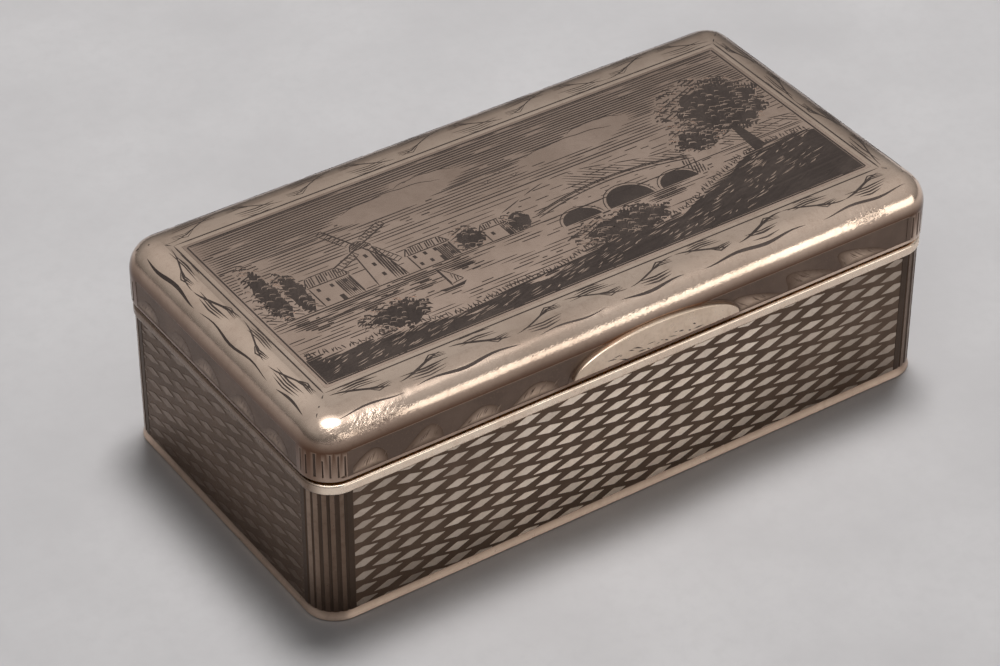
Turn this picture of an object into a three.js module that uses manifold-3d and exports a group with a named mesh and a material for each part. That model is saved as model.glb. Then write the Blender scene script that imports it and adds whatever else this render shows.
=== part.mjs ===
// A hinged silver snuff box with niello ornament, in millimetres, standing on its foot band with +Z up.
// X runs along the box, the thumb piece faces -Y and the hinge lies along the back at +Y.
import * as THREE from "three";
import Module from "manifold-3d";
import { mergeVertices } from "three/addons/utils/BufferGeometryUtils.js";

const wasm = await Module();
wasm.setup();

// Case: the open tray that holds the snuff
const CASE_LENGTH = 72;
const CASE_DEPTH = 37;
const SEAM_HEIGHT = 16.5; // floor to the top of the rim band
const CORNER_RADIUS = 3.3;
const WALL_THICKNESS = 0.9;
const BAND_PROUD = 0.15; // how far the rim and foot bands stand out from the wall
const BAND_ROUND = 0.3; // rounding of the bands' outer edges
const RIM_HEIGHT = 1.2;
const FOOT_HEIGHT = 1.05;
const FOOT_WIDTH = 0.75;
const BOTTOM_THICKNESS = 0.8;
const BEZEL_THICKNESS = 0.5;
const BEZEL_SEAT = 3; // length of bezel soldered below the seam
const BEZEL_RISE = 1.4; // length of bezel standing up into the lid
const BEZEL_END_GAP = 0.3; // between the bezel's ends and the hinge

// Lid: a raised cover with a straight wall and a rounded edge
const LID_HEIGHT = 6.6;
const LID_WALL_HEIGHT = 3.4; // straight part of the lid wall
const LID_EDGE_REACH = 3.1; // level width of the rounded edge
const LID_TOP_THICKNESS = 1.1;
const LID_OVERHANG = 0.1; // how far the lid stands out past the bands
const LID_FIT = 0.15; // gap between the bezel and the lid wall
const SEAM_GAP = 0.5;

// Niello: dark fields let into the silver
const NIELLO_DEPTH = 0.3;
const FIELD_MARGIN = 0.35; // plain silver between a corner and the field beside it
const PICTURE_END_BORDER = 4.25; // end of the case to the picture
const PICTURE_SIDE_BORDER = 5.3; // front or back of the case to the picture
const LID_FIELD_RISE = 0.4; // lid's lower edge up to its fields
const LID_FIELD_DROP = 0.1; // start of the rounded edge down to the fields
const THUMB_MARGIN = 0.45; // plain silver round the thumb piece

// Flutes cut in the corners of the case and the lid
const FLUTE_COUNT = 7;
const FLUTE_WIDTH = 0.36;
const FLUTE_DEPTH = 0.2;

// Thumb piece: a crescent on the front of the lid
const THUMB_LENGTH = 19.4;
const THUMB_HEIGHT = 3.0;
const THUMB_THICKNESS = 0.5;
const THUMB_BEVEL = 0.2;
const THUMB_OFFSET = 1.6; // along X, from the middle of the front
const THUMB_RISE = 0.75; // lid's lower edge up to the thumb piece

// Hinge: knuckles on a pin, lying in two half-round bearers
const LID_OPENING = 105; // degrees
const STOP_ALLOWANCE = 7; // degrees left between the bearers when the lid is fully open
const HINGE_SETBACK = 3; // end of the case to the end of the hinge
const HINGE_INSET = 0.3; // back of the case to the pin's axis
const KNUCKLE_COUNT = 7;
const KNUCKLE_RADIUS = 1.25;
const KNUCKLE_GAP = 0.15;
const PIN_RADIUS = 0.55;
const PIN_CLEARANCE = 0.06;
const PLUG_THICKNESS = 0.8;
const PLUG_CROWN = 0.25;
const HINGE_CLEARANCE = 0.15; // between the knuckles and the bearers
const BEARER_THICKNESS = 0.5;
const BEARER_INNER_ANGLE = 10; // degrees from level to a bearer's edge inside the box
const SOLDER_GAP = 0.06;

// Smoothness of the curves
const CORNER_STEPS = 8;
const EDGE_STEPS = 6;
const ROUND_STEPS = 3;
const BARREL_STEPS = 20;
const CHANNEL_STEPS = 40;
const ARC_STEPS = 16;
const LEAST_RADIUS = 0.2; // smallest plan radius of a corner
const CUT_REACH = 1; // how far a cutting solid runs past the face that it cuts

// Faces and heights that follow from the sizes above
const QUARTER_TURN = Math.PI / 2;
const HALF_LENGTH = CASE_LENGTH / 2;
const HALF_DEPTH = CASE_DEPTH / 2;
const WALL_INSIDE = BAND_PROUD + WALL_THICKNESS; // inset of the wall's inner face
const WALL_TOP = SEAM_HEIGHT - RIM_HEIGHT;
const FIELD_FACE = HALF_DEPTH - BAND_PROUD;
const FIELD_END_FACE = HALF_LENGTH - BAND_PROUD;
const FIELD_HALF_LENGTH = HALF_LENGTH - CORNER_RADIUS - FIELD_MARGIN;
const FIELD_HALF_DEPTH = HALF_DEPTH - CORNER_RADIUS - FIELD_MARGIN;
const LID_BOTTOM = SEAM_HEIGHT + SEAM_GAP;
const LID_TOP = LID_BOTTOM + LID_HEIGHT;
const LID_INSIDE = WALL_INSIDE - LID_FIT; // inset of the lid wall's inner face
const LID_FACE = HALF_DEPTH + LID_OVERHANG;
const LID_END_FACE = HALF_LENGTH + LID_OVERHANG;
const LID_FIELD_BOTTOM = LID_BOTTOM + LID_FIELD_RISE;
const LID_FIELD_TOP = LID_BOTTOM + LID_WALL_HEIGHT - LID_FIELD_DROP;
const PICTURE_HALF_LENGTH = HALF_LENGTH - PICTURE_END_BORDER;
const PICTURE_HALF_DEPTH = HALF_DEPTH - PICTURE_SIDE_BORDER;
const HINGE_Y = HALF_DEPTH - HINGE_INSET;
const HINGE_Z = SEAM_HEIGHT + SEAM_GAP / 2;
const HINGE_HALF = HALF_LENGTH - HINGE_SETBACK;
const BARREL_HALF = HINGE_HALF - PLUG_THICKNESS; // middle of the hinge to a plug
const KNUCKLE_LENGTH = (2 * BARREL_HALF - (KNUCKLE_COUNT - 1) * KNUCKLE_GAP) / KNUCKLE_COUNT;
const BEARER_BORE = KNUCKLE_RADIUS + HINGE_CLEARANCE;
const BEARER_RADIUS = BEARER_BORE + BEARER_THICKNESS;
const BEARER_EDGE_ANGLE = (LID_OPENING + STOP_ALLOWANCE) / 2; // degrees from level to a bearer's outer edge

// Turns that only swap axes, so that faces keep their exact places
const EXTRUDE_ALONG_X = new THREE.Matrix4().set(0, 0, 1, 0, 1, 0, 0, 0, 0, 1, 0, 0, 0, 0, 0, 1);
const EXTRUDE_TO_FRONT = new THREE.Matrix4().set(1, 0, 0, 0, 0, 0, -1, 0, 0, 1, 0, 0, 0, 0, 0, 1);
const LATHE_ALONG_X = new THREE.Matrix4().set(0, 1, 0, 0, 0, 0, 1, 0, 1, 0, 0, 0, 0, 0, 0, 1);

// Finishes
const silver = () => new THREE.MeshStandardMaterial({ color: 0xab9d90, roughness: 0.38, metalness: 1 });
const brightSilver = () => new THREE.MeshStandardMaterial({ color: 0xc9bba8, roughness: 0.28, metalness: 1 });
const gilt = () => new THREE.MeshStandardMaterial({ color: 0xb98a45, roughness: 0.35, metalness: 1 });
const niello = () => new THREE.MeshStandardMaterial({ color: 0x463f42, roughness: 0.5, metalness: 0.4 });

// A closed geometry as a solid that can be cut
function solidOf(geometry) {
  const bare = new THREE.BufferGeometry();
  bare.setAttribute("position", geometry.getAttribute("position"));
  bare.setIndex(geometry.index);
  const merged = mergeVertices(bare);
  const vertProperties = merged.getAttribute("position").array;
  const triVerts = new Uint32Array(merged.index.array);
  return new wasm.Manifold(new wasm.Mesh({ numProp: 3, vertProperties, triVerts }));
}

// A geometry less the solids that cut it
function cut(geometry, tools) {
  const left = tools.reduce((solid, tool) => solid.subtract(solidOf(tool)), solidOf(geometry));
  const { vertProperties, triVerts } = left.getMesh();
  return new THREE.BufferGeometry()
    .setAttribute("position", new THREE.BufferAttribute(vertProperties, 3))
    .setIndex(new THREE.BufferAttribute(triVerts, 1));
}

// A box between its lowest and highest corners
function boxBetween(low, high) {
  const size = high.map((value, axis) => value - low[axis]);
  const middle = high.map((value, axis) => (value + low[axis]) / 2);
  const place = new THREE.Matrix4().makeScale(...size).setPosition(...middle);
  return new THREE.BoxGeometry(1, 1, 1).applyMatrix4(place);
}

// One corner of the case's plan, counted anticlockwise from the front right
function planCorner(corner, inset) {
  const radius = Math.max(CORNER_RADIUS - inset, LEAST_RADIUS);
  const side = corner < 2 ? 1 : -1;
  const back = corner % 3 > 0 ? 1 : -1;
  const x = side * (HALF_LENGTH - inset - radius);
  const y = back * (HALF_DEPTH - inset - radius);
  const start = (corner - 1) * QUARTER_TURN;
  const at = (angle, distance) =>
    new THREE.Vector2(x + distance * Math.cos(angle), y + distance * Math.sin(angle));
  return { radius, start, at };
}

// The case's plan drawn in by an inset, anticlockwise
function caseOutline(inset) {
  const points = [];
  for (let corner = 0; corner < 4; corner++) {
    const { radius, start, at } = planCorner(corner, inset);
    for (let step = 0; step <= CORNER_STEPS; step++) {
      points.push(at(start + (step / CORNER_STEPS) * QUARTER_TURN, radius));
    }
  }
  return points;
}

// Outlines of the case stacked by inset and height and joined into one closed surface:
// a ring comes back to its first outline, and anything else ends in flat faces
function stackOutlines(profile, isRing) {
  const rings = profile.map(({ inset, z }) => caseOutline(inset).map(({ x, y }) => [x, y, z]));
  const count = rings[0].length;
  const index = [];
  const strips = isRing ? rings.length : rings.length - 1;
  for (let ring = 0; ring < strips; ring++) {
    const from = ring * count;
    const to = ((ring + 1) % rings.length) * count;
    for (let point = 0; point < count; point++) {
      const next = (point + 1) % count;
      index.push(from + point, from + next, to + next, from + point, to + next, to + point);
    }
  }
  const last = (rings.length - 1) * count;
  for (let point = 1; !isRing && point < count - 1; point++) {
    index.push(0, point + 1, point, last, last + point, last + point + 1);
  }
  return new THREE.BufferGeometry()
    .setAttribute("position", new THREE.Float32BufferAttribute(rings.flat(2), 3))
    .setIndex(index);
}

// A quarter of an oval from an upright face to a level one, as insets and heights
function roundedEdge(inset, z, reach, rise, steps) {
  return Array.from({ length: steps + 1 }, (_, step) => {
    const angle = (step / steps) * QUARTER_TURN;
    return { inset: inset + reach * (1 - Math.cos(angle)), z: z + rise * Math.sin(angle) };
  });
}

// A band round the case with rounded outer edges
function band(bottom, top, insideInset) {
  const upper = roundedEdge(0, top - BAND_ROUND, BAND_ROUND, BAND_ROUND, ROUND_STEPS);
  const lower = roundedEdge(0, bottom + BAND_ROUND, BAND_ROUND, -BAND_ROUND, ROUND_STEPS).reverse();
  const inner = [top, bottom].map((z) => ({ inset: insideInset, z }));
  return stackOutlines([...lower, ...upper, ...inner], true);
}

// A cylinder along the hinge's axis
function hingeCylinder(radius, length) {
  return new THREE.CylinderGeometry(radius, radius, length, CHANNEL_STEPS)
    .applyMatrix4(LATHE_ALONG_X)
    .translate(0, HINGE_Y, HINGE_Z);
}

// Room for the hinge: the bearers' seat, and beyond its ends a groove where the lid's back edge swings down
function hingeRoom() {
  const grooveRadius = (HINGE_INSET + LID_OVERHANG) / Math.cos(THREE.MathUtils.degToRad(BEARER_EDGE_ANGLE));
  return [
    hingeCylinder(BEARER_RADIUS + SOLDER_GAP, 2 * (HINGE_HALF + SOLDER_GAP)),
    hingeCylinder(grooveRadius, CASE_LENGTH),
  ];
}

// Corner points of one flute: its two edges on the surface and its bottom between them
function fluteCorners({ start, at }, flute, radius, widen) {
  const angle = start + ((flute + 0.5) / FLUTE_COUNT) * QUARTER_TURN;
  const half = (FLUTE_WIDTH * widen) / 2 / radius;
  const edge = radius + FLUTE_DEPTH * (widen - 1);
  return [at(angle - half, edge), at(angle, radius - FLUTE_DEPTH), at(angle + half, edge)];
}

// The wall's plan: fluted corners, and a shallow recess along each side for the niello
function wallOutline() {
  const points = [];
  for (let corner = 0; corner < 4; corner++) {
    const place = planCorner(corner, BAND_PROUD);
    const { radius, start, at } = place;
    const first = at(start, radius);
    const last = at(start + QUARTER_TURN, radius);
    const outward = new THREE.Vector2(Math.cos(start), Math.sin(start));
    const onward = new THREE.Vector2(-outward.y, outward.x);
    const before = first.clone().addScaledVector(onward, -FIELD_MARGIN);
    const after = last.clone().addScaledVector(outward, -FIELD_MARGIN);
    points.push(before.clone().addScaledVector(outward, -NIELLO_DEPTH), before, first);
    for (let flute = 0; flute < FLUTE_COUNT; flute++) {
      points.push(...fluteCorners(place, flute, radius, 1));
    }
    points.push(last, after, after.clone().addScaledVector(onward, -NIELLO_DEPTH));
  }
  return points;
}

function bodyWall() {
  const plan = new THREE.Shape(wallOutline());
  plan.holes.push(new THREE.Path(caseOutline(WALL_INSIDE)));
  const wall = new THREE.ExtrudeGeometry(plan, { depth: WALL_TOP - FOOT_HEIGHT, bevelEnabled: false });
  return cut(wall.translate(0, 0, FOOT_HEIGHT), hingeRoom());
}

function bottomPlate() {
  const faces = [FOOT_HEIGHT - BOTTOM_THICKNESS, FOOT_HEIGHT];
  return stackOutlines(faces.map((z) => ({ inset: FOOT_WIDTH, z })), false);
}

function rimBand() {
  return cut(band(WALL_TOP, SEAM_HEIGHT, WALL_INSIDE), hingeRoom());
}

// The collar that guides the lid runs round the front and the ends, and stops short of the hinge
function bezel() {
  const bottom = SEAM_HEIGHT - BEZEL_SEAT;
  const top = SEAM_HEIGHT + BEZEL_RISE;
  const inside = WALL_INSIDE + BEZEL_THICKNESS;
  const profile = [
    { inset: WALL_INSIDE, z: bottom },
    { inset: WALL_INSIDE, z: top },
    { inset: inside, z: top },
    { inset: inside, z: bottom },
  ];
  const end = HINGE_Y - BEARER_RADIUS - BEZEL_END_GAP;
  const behind = boxBetween(
    [-HALF_LENGTH, end, bottom - CUT_REACH],
    [HALF_LENGTH, HALF_DEPTH, top + CUT_REACH],
  );
  return cut(stackOutlines(profile, true), [behind]);
}

// The four niello fields of the case, flush with the wall and as tall as it is
function bodyFields() {
  const back = boxBetween(
    [-FIELD_HALF_LENGTH, FIELD_FACE - NIELLO_DEPTH, FOOT_HEIGHT],
    [FIELD_HALF_LENGTH, FIELD_FACE, WALL_TOP],
  );
  return {
    front: boxBetween(
      [-FIELD_HALF_LENGTH, -FIELD_FACE, FOOT_HEIGHT],
      [FIELD_HALF_LENGTH, -FIELD_FACE + NIELLO_DEPTH, WALL_TOP],
    ),
    back: cut(back, hingeRoom()),
    left: boxBetween(
      [-FIELD_END_FACE, -FIELD_HALF_DEPTH, FOOT_HEIGHT],
      [-FIELD_END_FACE + NIELLO_DEPTH, FIELD_HALF_DEPTH, WALL_TOP],
    ),
    right: boxBetween(
      [FIELD_END_FACE - NIELLO_DEPTH, -FIELD_HALF_DEPTH, FOOT_HEIGHT],
      [FIELD_END_FACE, FIELD_HALF_DEPTH, WALL_TOP],
    ),
  };
}

// The thumb piece's front outline, half an oval, drawn larger all round by a margin
function crescent(margin) {
  const bottom = LID_BOTTOM + THUMB_RISE - margin;
  const halfLength = THUMB_LENGTH / 2 + margin;
  const height = THUMB_HEIGHT + 2 * margin;
  return new THREE.Shape().absellipse(THUMB_OFFSET, bottom, halfLength, height, 0, Math.PI);
}

// A niello field on the lid's front, to one side of the thumb piece; the proud one cuts its recess
function lidFrontField(side, proud) {
  const ends = [THUMB_OFFSET, side * FIELD_HALF_LENGTH].sort((a, b) => a - b);
  const plate = boxBetween(
    [ends[0], -LID_FACE - proud, LID_FIELD_BOTTOM],
    [ends[1], -LID_FACE + NIELLO_DEPTH, LID_FIELD_TOP],
  );
  const room = { depth: NIELLO_DEPTH + 2 * CUT_REACH + proud, bevelEnabled: false, curveSegments: ARC_STEPS };
  const round = new THREE.ExtrudeGeometry(crescent(THUMB_MARGIN), room)
    .applyMatrix4(EXTRUDE_TO_FRONT)
    .translate(0, -LID_FACE + NIELLO_DEPTH + CUT_REACH, 0);
  return cut(plate, [round]);
}

// A niello field on one end of the lid
function lidEndField(side, proud) {
  const faces = [side * (LID_END_FACE - NIELLO_DEPTH), side * (LID_END_FACE + proud)].sort((a, b) => a - b);
  return boxBetween(
    [faces[0], -FIELD_HALF_DEPTH, LID_FIELD_BOTTOM],
    [faces[1], FIELD_HALF_DEPTH, LID_FIELD_TOP],
  );
}

// The picture's niello, let into the top of the lid
function pictureField(proud) {
  return boxBetween(
    [-PICTURE_HALF_LENGTH, -PICTURE_HALF_DEPTH, LID_TOP - NIELLO_DEPTH],
    [PICTURE_HALF_LENGTH, PICTURE_HALF_DEPTH, LID_TOP + proud],
  );
}

// Cutters for the flutes in the lid's corners
function lidFlutes() {
  const height = { depth: LID_FIELD_TOP - LID_FIELD_BOTTOM, bevelEnabled: false };
  const flutes = [];
  for (let corner = 0; corner < 4; corner++) {
    const place = planCorner(corner, -LID_OVERHANG);
    for (let flute = 0; flute < FLUTE_COUNT; flute++) {
      const plan = new THREE.Shape(fluteCorners(place, flute, place.radius, 2));
      flutes.push(new THREE.ExtrudeGeometry(plan, height).translate(0, 0, LID_FIELD_BOTTOM));
    }
  }
  return flutes;
}

// The lid: up inside, over the lip and up outside, with a rounded edge to the flat top
function lidCover() {
  const wallTop = LID_BOTTOM + LID_WALL_HEIGHT;
  const rise = LID_HEIGHT - LID_WALL_HEIGHT;
  const topInset = LID_EDGE_REACH - LID_OVERHANG;
  const outer = roundedEdge(-LID_OVERHANG, wallTop, LID_EDGE_REACH, rise, EDGE_STEPS);
  const inner = roundedEdge(LID_INSIDE, wallTop, topInset - LID_INSIDE, rise - LID_TOP_THICKNESS, EDGE_STEPS);
  const profile = [
    ...inner.reverse(),
    { inset: LID_INSIDE, z: LID_BOTTOM },
    { inset: -LID_OVERHANG, z: LID_BOTTOM },
    ...outer,
  ];
  return cut(stackOutlines(profile, false), [
    pictureField(CUT_REACH),
    lidFrontField(-1, CUT_REACH),
    lidFrontField(1, CUT_REACH),
    lidEndField(-1, CUT_REACH),
    lidEndField(1, CUT_REACH),
    ...lidFlutes(),
    ...hingeRoom(),
  ]);
}

// A crescent with a bevelled edge, soldered flat on the lid's front
function thumbPiece() {
  const options = {
    depth: THUMB_THICKNESS - THUMB_BEVEL,
    bevelThickness: THUMB_BEVEL,
    bevelSize: THUMB_BEVEL,
    bevelOffset: -THUMB_BEVEL,
    bevelSegments: ROUND_STEPS,
    curveSegments: ARC_STEPS,
  };
  const piece = new THREE.ExtrudeGeometry(crescent(0), options)
    .applyMatrix4(EXTRUDE_TO_FRONT)
    .translate(0, -LID_FACE, 0);
  const behind = boxBetween([-HALF_LENGTH, -LID_FACE, LID_BOTTOM], [HALF_LENGTH, 0, LID_TOP]);
  return cut(piece, [behind]);
}

// A half-round channel along the hinge: below it on the case, above it on the lid
function hingeBearer(side) {
  const edge = THREE.MathUtils.degToRad(BEARER_EDGE_ANGLE) * side;
  const inner = Math.PI * side - THREE.MathUtils.degToRad(BEARER_INNER_ANGLE) * side;
  const clockwise = side < 0;
  const section = new THREE.Shape()
    .absarc(0, 0, BEARER_RADIUS, edge, inner, clockwise)
    .absarc(0, 0, BEARER_BORE, inner, edge, !clockwise);
  const run = { depth: 2 * HINGE_HALF, bevelEnabled: false, curveSegments: ARC_STEPS };
  return new THREE.ExtrudeGeometry(section, run)
    .applyMatrix4(EXTRUDE_ALONG_X)
    .translate(-HINGE_HALF, HINGE_Y, HINGE_Z);
}

// A profile turned about the hinge's axis, from its radius and its place along X
function hingeTurning(profile) {
  const points = profile.map(([radius, along]) => new THREE.Vector2(radius, along));
  return new THREE.LatheGeometry(points, BARREL_STEPS)
    .applyMatrix4(LATHE_ALONG_X)
    .translate(0, HINGE_Y, HINGE_Z);
}

function knuckle(number) {
  const bore = PIN_RADIUS + PIN_CLEARANCE;
  const start = -BARREL_HALF + number * (KNUCKLE_LENGTH + KNUCKLE_GAP);
  const end = start + KNUCKLE_LENGTH;
  return hingeTurning([
    [bore, start],
    [KNUCKLE_RADIUS, start],
    [KNUCKLE_RADIUS, end],
    [bore, end],
    [bore, start],
  ]);
}

function hingePin() {
  return hingeTurning([
    [0, -BARREL_HALF],
    [PIN_RADIUS, -BARREL_HALF],
    [PIN_RADIUS, BARREL_HALF],
    [0, BARREL_HALF],
  ]);
}

// A plug that closes one end of the barrel, with a low crown on its outer face
function hingePlug() {
  const crown = roundedEdge(0, HINGE_HALF - PLUG_CROWN, KNUCKLE_RADIUS, PLUG_CROWN, ROUND_STEPS)
    .map(({ inset, z }) => [KNUCKLE_RADIUS - inset, z]);
  return hingeTurning([[0, BARREL_HALF], [KNUCKLE_RADIUS, BARREL_HALF], ...crown]);
}

const box = new THREE.Group();
const body = new THREE.Group();
const lid = new THREE.Group();
box.add(body, lid);

function addPiece(parent, name, geometry, material) {
  const piece = new THREE.Mesh(geometry, material);
  piece.name = name;
  parent.add(piece);
  return piece;
}

addPiece(body, "body_wall", bodyWall(), silver());
addPiece(body, "bottom_plate", bottomPlate(), silver());
addPiece(body, "foot_band", band(0, FOOT_HEIGHT, FOOT_WIDTH), brightSilver());
addPiece(body, "rim_band", rimBand(), brightSilver());
addPiece(body, "bezel", bezel(), gilt());
for (const [side, geometry] of Object.entries(bodyFields())) {
  addPiece(body, `niello_body_${side}`, geometry, niello());
}
addPiece(body, "body_hinge_bearer", hingeBearer(-1), silver());
addPiece(body, "hinge_pin", hingePin(), brightSilver());
addPiece(body, "hinge_plug_right", hingePlug(), silver());
const leftPlug = addPiece(body, "hinge_plug_left", hingePlug(), silver());
leftPlug.scale.x = -1;

addPiece(lid, "lid_cover", lidCover(), silver());
addPiece(lid, "lid_hinge_bearer", hingeBearer(1), silver());
addPiece(lid, "thumb_piece", thumbPiece(), brightSilver());
addPiece(lid, "niello_lid_picture", pictureField(0), niello());
addPiece(lid, "niello_lid_front_left", lidFrontField(-1, 0), niello());
addPiece(lid, "niello_lid_front_right", lidFrontField(1, 0), niello());
addPiece(lid, "niello_lid_left", lidEndField(-1, 0), niello());
addPiece(lid, "niello_lid_right", lidEndField(1, 0), niello());

// Every other knuckle, the outer two among them, is on the case
for (let number = 0; number < KNUCKLE_COUNT; number++) {
  const [parent, owner] = number % 2 ? [lid, "lid"] : [body, "body"];
  addPiece(parent, `${owner}_knuckle_${number + 1}`, knuckle(number), silver());
}

export default box;
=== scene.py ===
"""Dresses a packed niello snuff box: worn silver, dark niello ornament and a gilt inside.

Sizes are in millimetres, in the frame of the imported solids, and become metres as each piece is finished.
"""

import logging
import random
from collections.abc import Callable, Sequence
from dataclasses import dataclass, field, replace
from enum import Enum
from math import copysign, cos, exp, inf, pi, radians, sin, sqrt
from typing import Any

import bmesh
import bpy
import numpy as np
from mathutils import Matrix, Vector


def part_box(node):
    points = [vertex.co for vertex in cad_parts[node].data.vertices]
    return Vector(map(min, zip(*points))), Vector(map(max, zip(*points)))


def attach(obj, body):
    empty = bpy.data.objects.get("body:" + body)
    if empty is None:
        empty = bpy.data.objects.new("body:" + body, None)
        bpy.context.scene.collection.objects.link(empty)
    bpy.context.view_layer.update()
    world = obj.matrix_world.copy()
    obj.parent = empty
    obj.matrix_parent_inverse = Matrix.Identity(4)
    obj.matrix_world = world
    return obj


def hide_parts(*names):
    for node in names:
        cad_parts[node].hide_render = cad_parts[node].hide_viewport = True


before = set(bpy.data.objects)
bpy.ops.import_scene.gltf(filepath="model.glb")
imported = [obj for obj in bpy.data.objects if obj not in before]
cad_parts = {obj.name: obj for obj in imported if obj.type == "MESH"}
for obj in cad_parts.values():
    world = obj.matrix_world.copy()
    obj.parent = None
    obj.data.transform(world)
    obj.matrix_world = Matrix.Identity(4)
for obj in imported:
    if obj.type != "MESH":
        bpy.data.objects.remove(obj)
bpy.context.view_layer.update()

Piece = bpy.types.Object
Point2 = tuple[float, float]
Point3 = tuple[float, float, float]
Colour = tuple[float, float, float]
Floats = tuple[float, ...]
Outline = Sequence[Point2]
Region = Callable[[float, float], bool]
Place = Sequence[float]
Rule = Callable[[Place], float]

MM = 0.001
PAST = 1.0  # how far a cutter runs past what it cuts
CREASE = 30.0  # degrees above which an edge stays sharp
PLAIN = 0.5  # tone at which a finish shows its own colour
WHITE: Colour = (1.0, 1.0, 1.0)
LOG = logging.getLogger("snuff_box")


class Body(Enum):
    """The two bodies that the hinge joins."""

    CASE = "body"
    LID = "lid"


class Slot(Enum):
    """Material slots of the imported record."""

    SILVER = "silver"
    BRIGHT = "bright_silver"
    GILT = "gilt"
    NIELLO = "niello"


def add_node(tree: bpy.types.NodeTree, kind: str, inputs: dict[Any, Any], **settings: Any) -> bpy.types.Node:
    """Adds a node to a tree.

    Args:
        tree: The tree.
        kind: Blender's name for the node.
        inputs: Values or sockets for the node's inputs, by name or number.
        **settings: Properties of the node itself.

    Returns:
        The new node.
    """
    node = tree.nodes.new(kind)
    for name, value in settings.items():
        setattr(node, name, value)
    for key, value in inputs.items():
        if isinstance(value, bpy.types.NodeSocket):
            tree.links.new(value, node.inputs[key])
        else:
            node.inputs[key].default_value = value
    return node


def rgba(value: Any) -> Any:
    """A colour of three parts made opaque; anything else as it is."""
    return (*value, 1.0) if isinstance(value, tuple) and len(value) == 3 else value


def held(value: float) -> float:
    """A value kept between 0 and 1."""
    return min(max(value, 0.0), 1.0)


def mixed(first: float, second: float, share: float) -> float:
    """A value between two others, with a share of the second."""
    return first + (second - first) * share


@dataclass(frozen=True)
class Texture:
    """A noise that stains or roughens a finish."""

    size: float  # width of its features
    detail: float  # how many finer layers it holds
    band: Point2 = (0.0, 1.0)  # values where a stain starts and is full
    stretch: Point3 = (1, 1, 1)  # lengthening along each axis
    turn: Point3 = (0, 0, 0)  # turn of those axes, in radians
    falloff: float = 0.6  # strength of finer layers


class ShaderSheet:
    """The shader nodes of one material, laid out by short calls."""

    LIFT = 1.5  # brightness of a colour at a tone of 1, where rubbed metal and painted highlights are brightest

    def __init__(self, name: str) -> None:
        """Starts a material with a plain shader.

        Args:
            name: The material's name.
        """
        self.material = bpy.data.materials.new(name)
        self.material.use_nodes = True
        self.tree = self.material.node_tree
        self.shader = self.tree.nodes["Principled BSDF"]
        self.place = self.tree.nodes.new("ShaderNodeTexCoord").outputs["Object"]

    def add(self, kind: str, inputs: dict[Any, Any], **settings: Any) -> bpy.types.Node:
        """Adds a node to the sheet."""
        return add_node(self.tree, kind, inputs, **settings)

    def noise(self, texture: Texture) -> Any:
        """A texture's noise in the object's own space.

        Args:
            texture: The texture.

        Returns:
            The socket of the noise's value.
        """
        scale = tuple(1 / (texture.size * MM * share) for share in texture.stretch)
        turned = self.add("ShaderNodeMapping", {"Vector": self.place, "Rotation": texture.turn})
        sized = self.add("ShaderNodeMapping", {"Vector": turned.outputs[0], "Scale": scale})
        inputs = {"Scale": 1.0, "Detail": texture.detail, "Roughness": texture.falloff}
        return self.add("ShaderNodeTexNoise", {"Vector": sized.outputs[0], **inputs}).outputs[0]

    def spread(self, value: Any, band: Point2, to: Point2) -> Any:
        """A value carried from one range to another, and held within it."""
        inputs = {0: value, 1: band[0], 2: band[1], 3: to[0], 4: to[1]}
        return self.add("ShaderNodeMapRange", inputs).outputs[0]

    def blend(self, share: Any, first: Any, second: Any, kind: str = "MIX") -> Any:
        """Two colours blended, with a share of the second, in one of Blender's ways."""
        inputs = {0: share, 6: rgba(first), 7: rgba(second)}
        return self.add("ShaderNodeMix", inputs, data_type="RGBA", blend_type=kind).outputs[2]

    def stain(self, colour: Any, over: Colour, noise: Any, band: Point2, most: float) -> Any:
        """A colour under another that covers it where a noise is high."""
        return self.blend(self.spread(noise, band, (0.0, most)), colour, over)

    def layer(self, name: str) -> Any:
        """A value kept in the mesh, 0 where the mesh has none."""
        return self.add("ShaderNodeAttribute", {}, attribute_name=name).outputs["Fac"]

    def times(self, first: Any, second: Any) -> Any:
        """Two values multiplied."""
        return self.add("ShaderNodeMath", {0: first, 1: second}, operation="MULTIPLY").outputs[0]

    def toned(self, colour: Any, dim: Colour) -> Any:
        """A colour dimmed where the mesh's tone is low and lifted where it is high.

        Args:
            colour: The colour, which stays as it is at a plain tone.
            dim: What is left of each part of it at a tone of 0.

        Returns:
            The socket of the colour.
        """
        tone = self.layer("tone")
        tint = self.blend(self.spread(tone, (0.0, PLAIN), (0.0, 1.0)), dim, WHITE)
        lift = self.spread(tone, (PLAIN, 1.0), (1.0, self.LIFT))
        lifted = self.blend(1.0, colour, lift, "MULTIPLY")
        return self.blend(1.0, lifted, tint, "MULTIPLY")

    def bump(self, height: Any, strength: float, depth: float, under: Any = None) -> Any:
        """A relief in the surface.

        Args:
            height: The socket of the relief's height.
            strength: How strongly it turns the light.
            depth: Its depth in millimetres.
            under: The relief that it lies on.

        Returns:
            The socket of the normal.
        """
        inputs = {"Height": height, "Strength": strength, "Distance": depth * MM}
        if under is not None:
            inputs["Normal"] = under
        return self.add("ShaderNodeBump", inputs).outputs[0]

    def finish(self, **inputs: Any) -> bpy.types.Material:
        """Feeds the shader.

        Args:
            **inputs: Values or sockets for the shader, with a low line for each space.

        Returns:
            The material.
        """
        for key, value in inputs.items():
            socket = self.shader.inputs[key.replace("_", " ")]
            if isinstance(value, bpy.types.NodeSocket):
                self.tree.links.new(value, socket)
            else:
                socket.default_value = rgba(value)
        return self.material


@dataclass(frozen=True)
class Finish:
    """What the surface of a piece is made of."""

    name: str

    def material(self) -> bpy.types.Material:
        """The finish's material, made on first use."""
        return bpy.data.materials.get(self.name) or self.shade(ShaderSheet(self.name))

    def shade(self, sheet: ShaderSheet) -> bpy.types.Material:
        """The shader, which each kind of finish lays out by itself."""
        raise NotImplementedError


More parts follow.
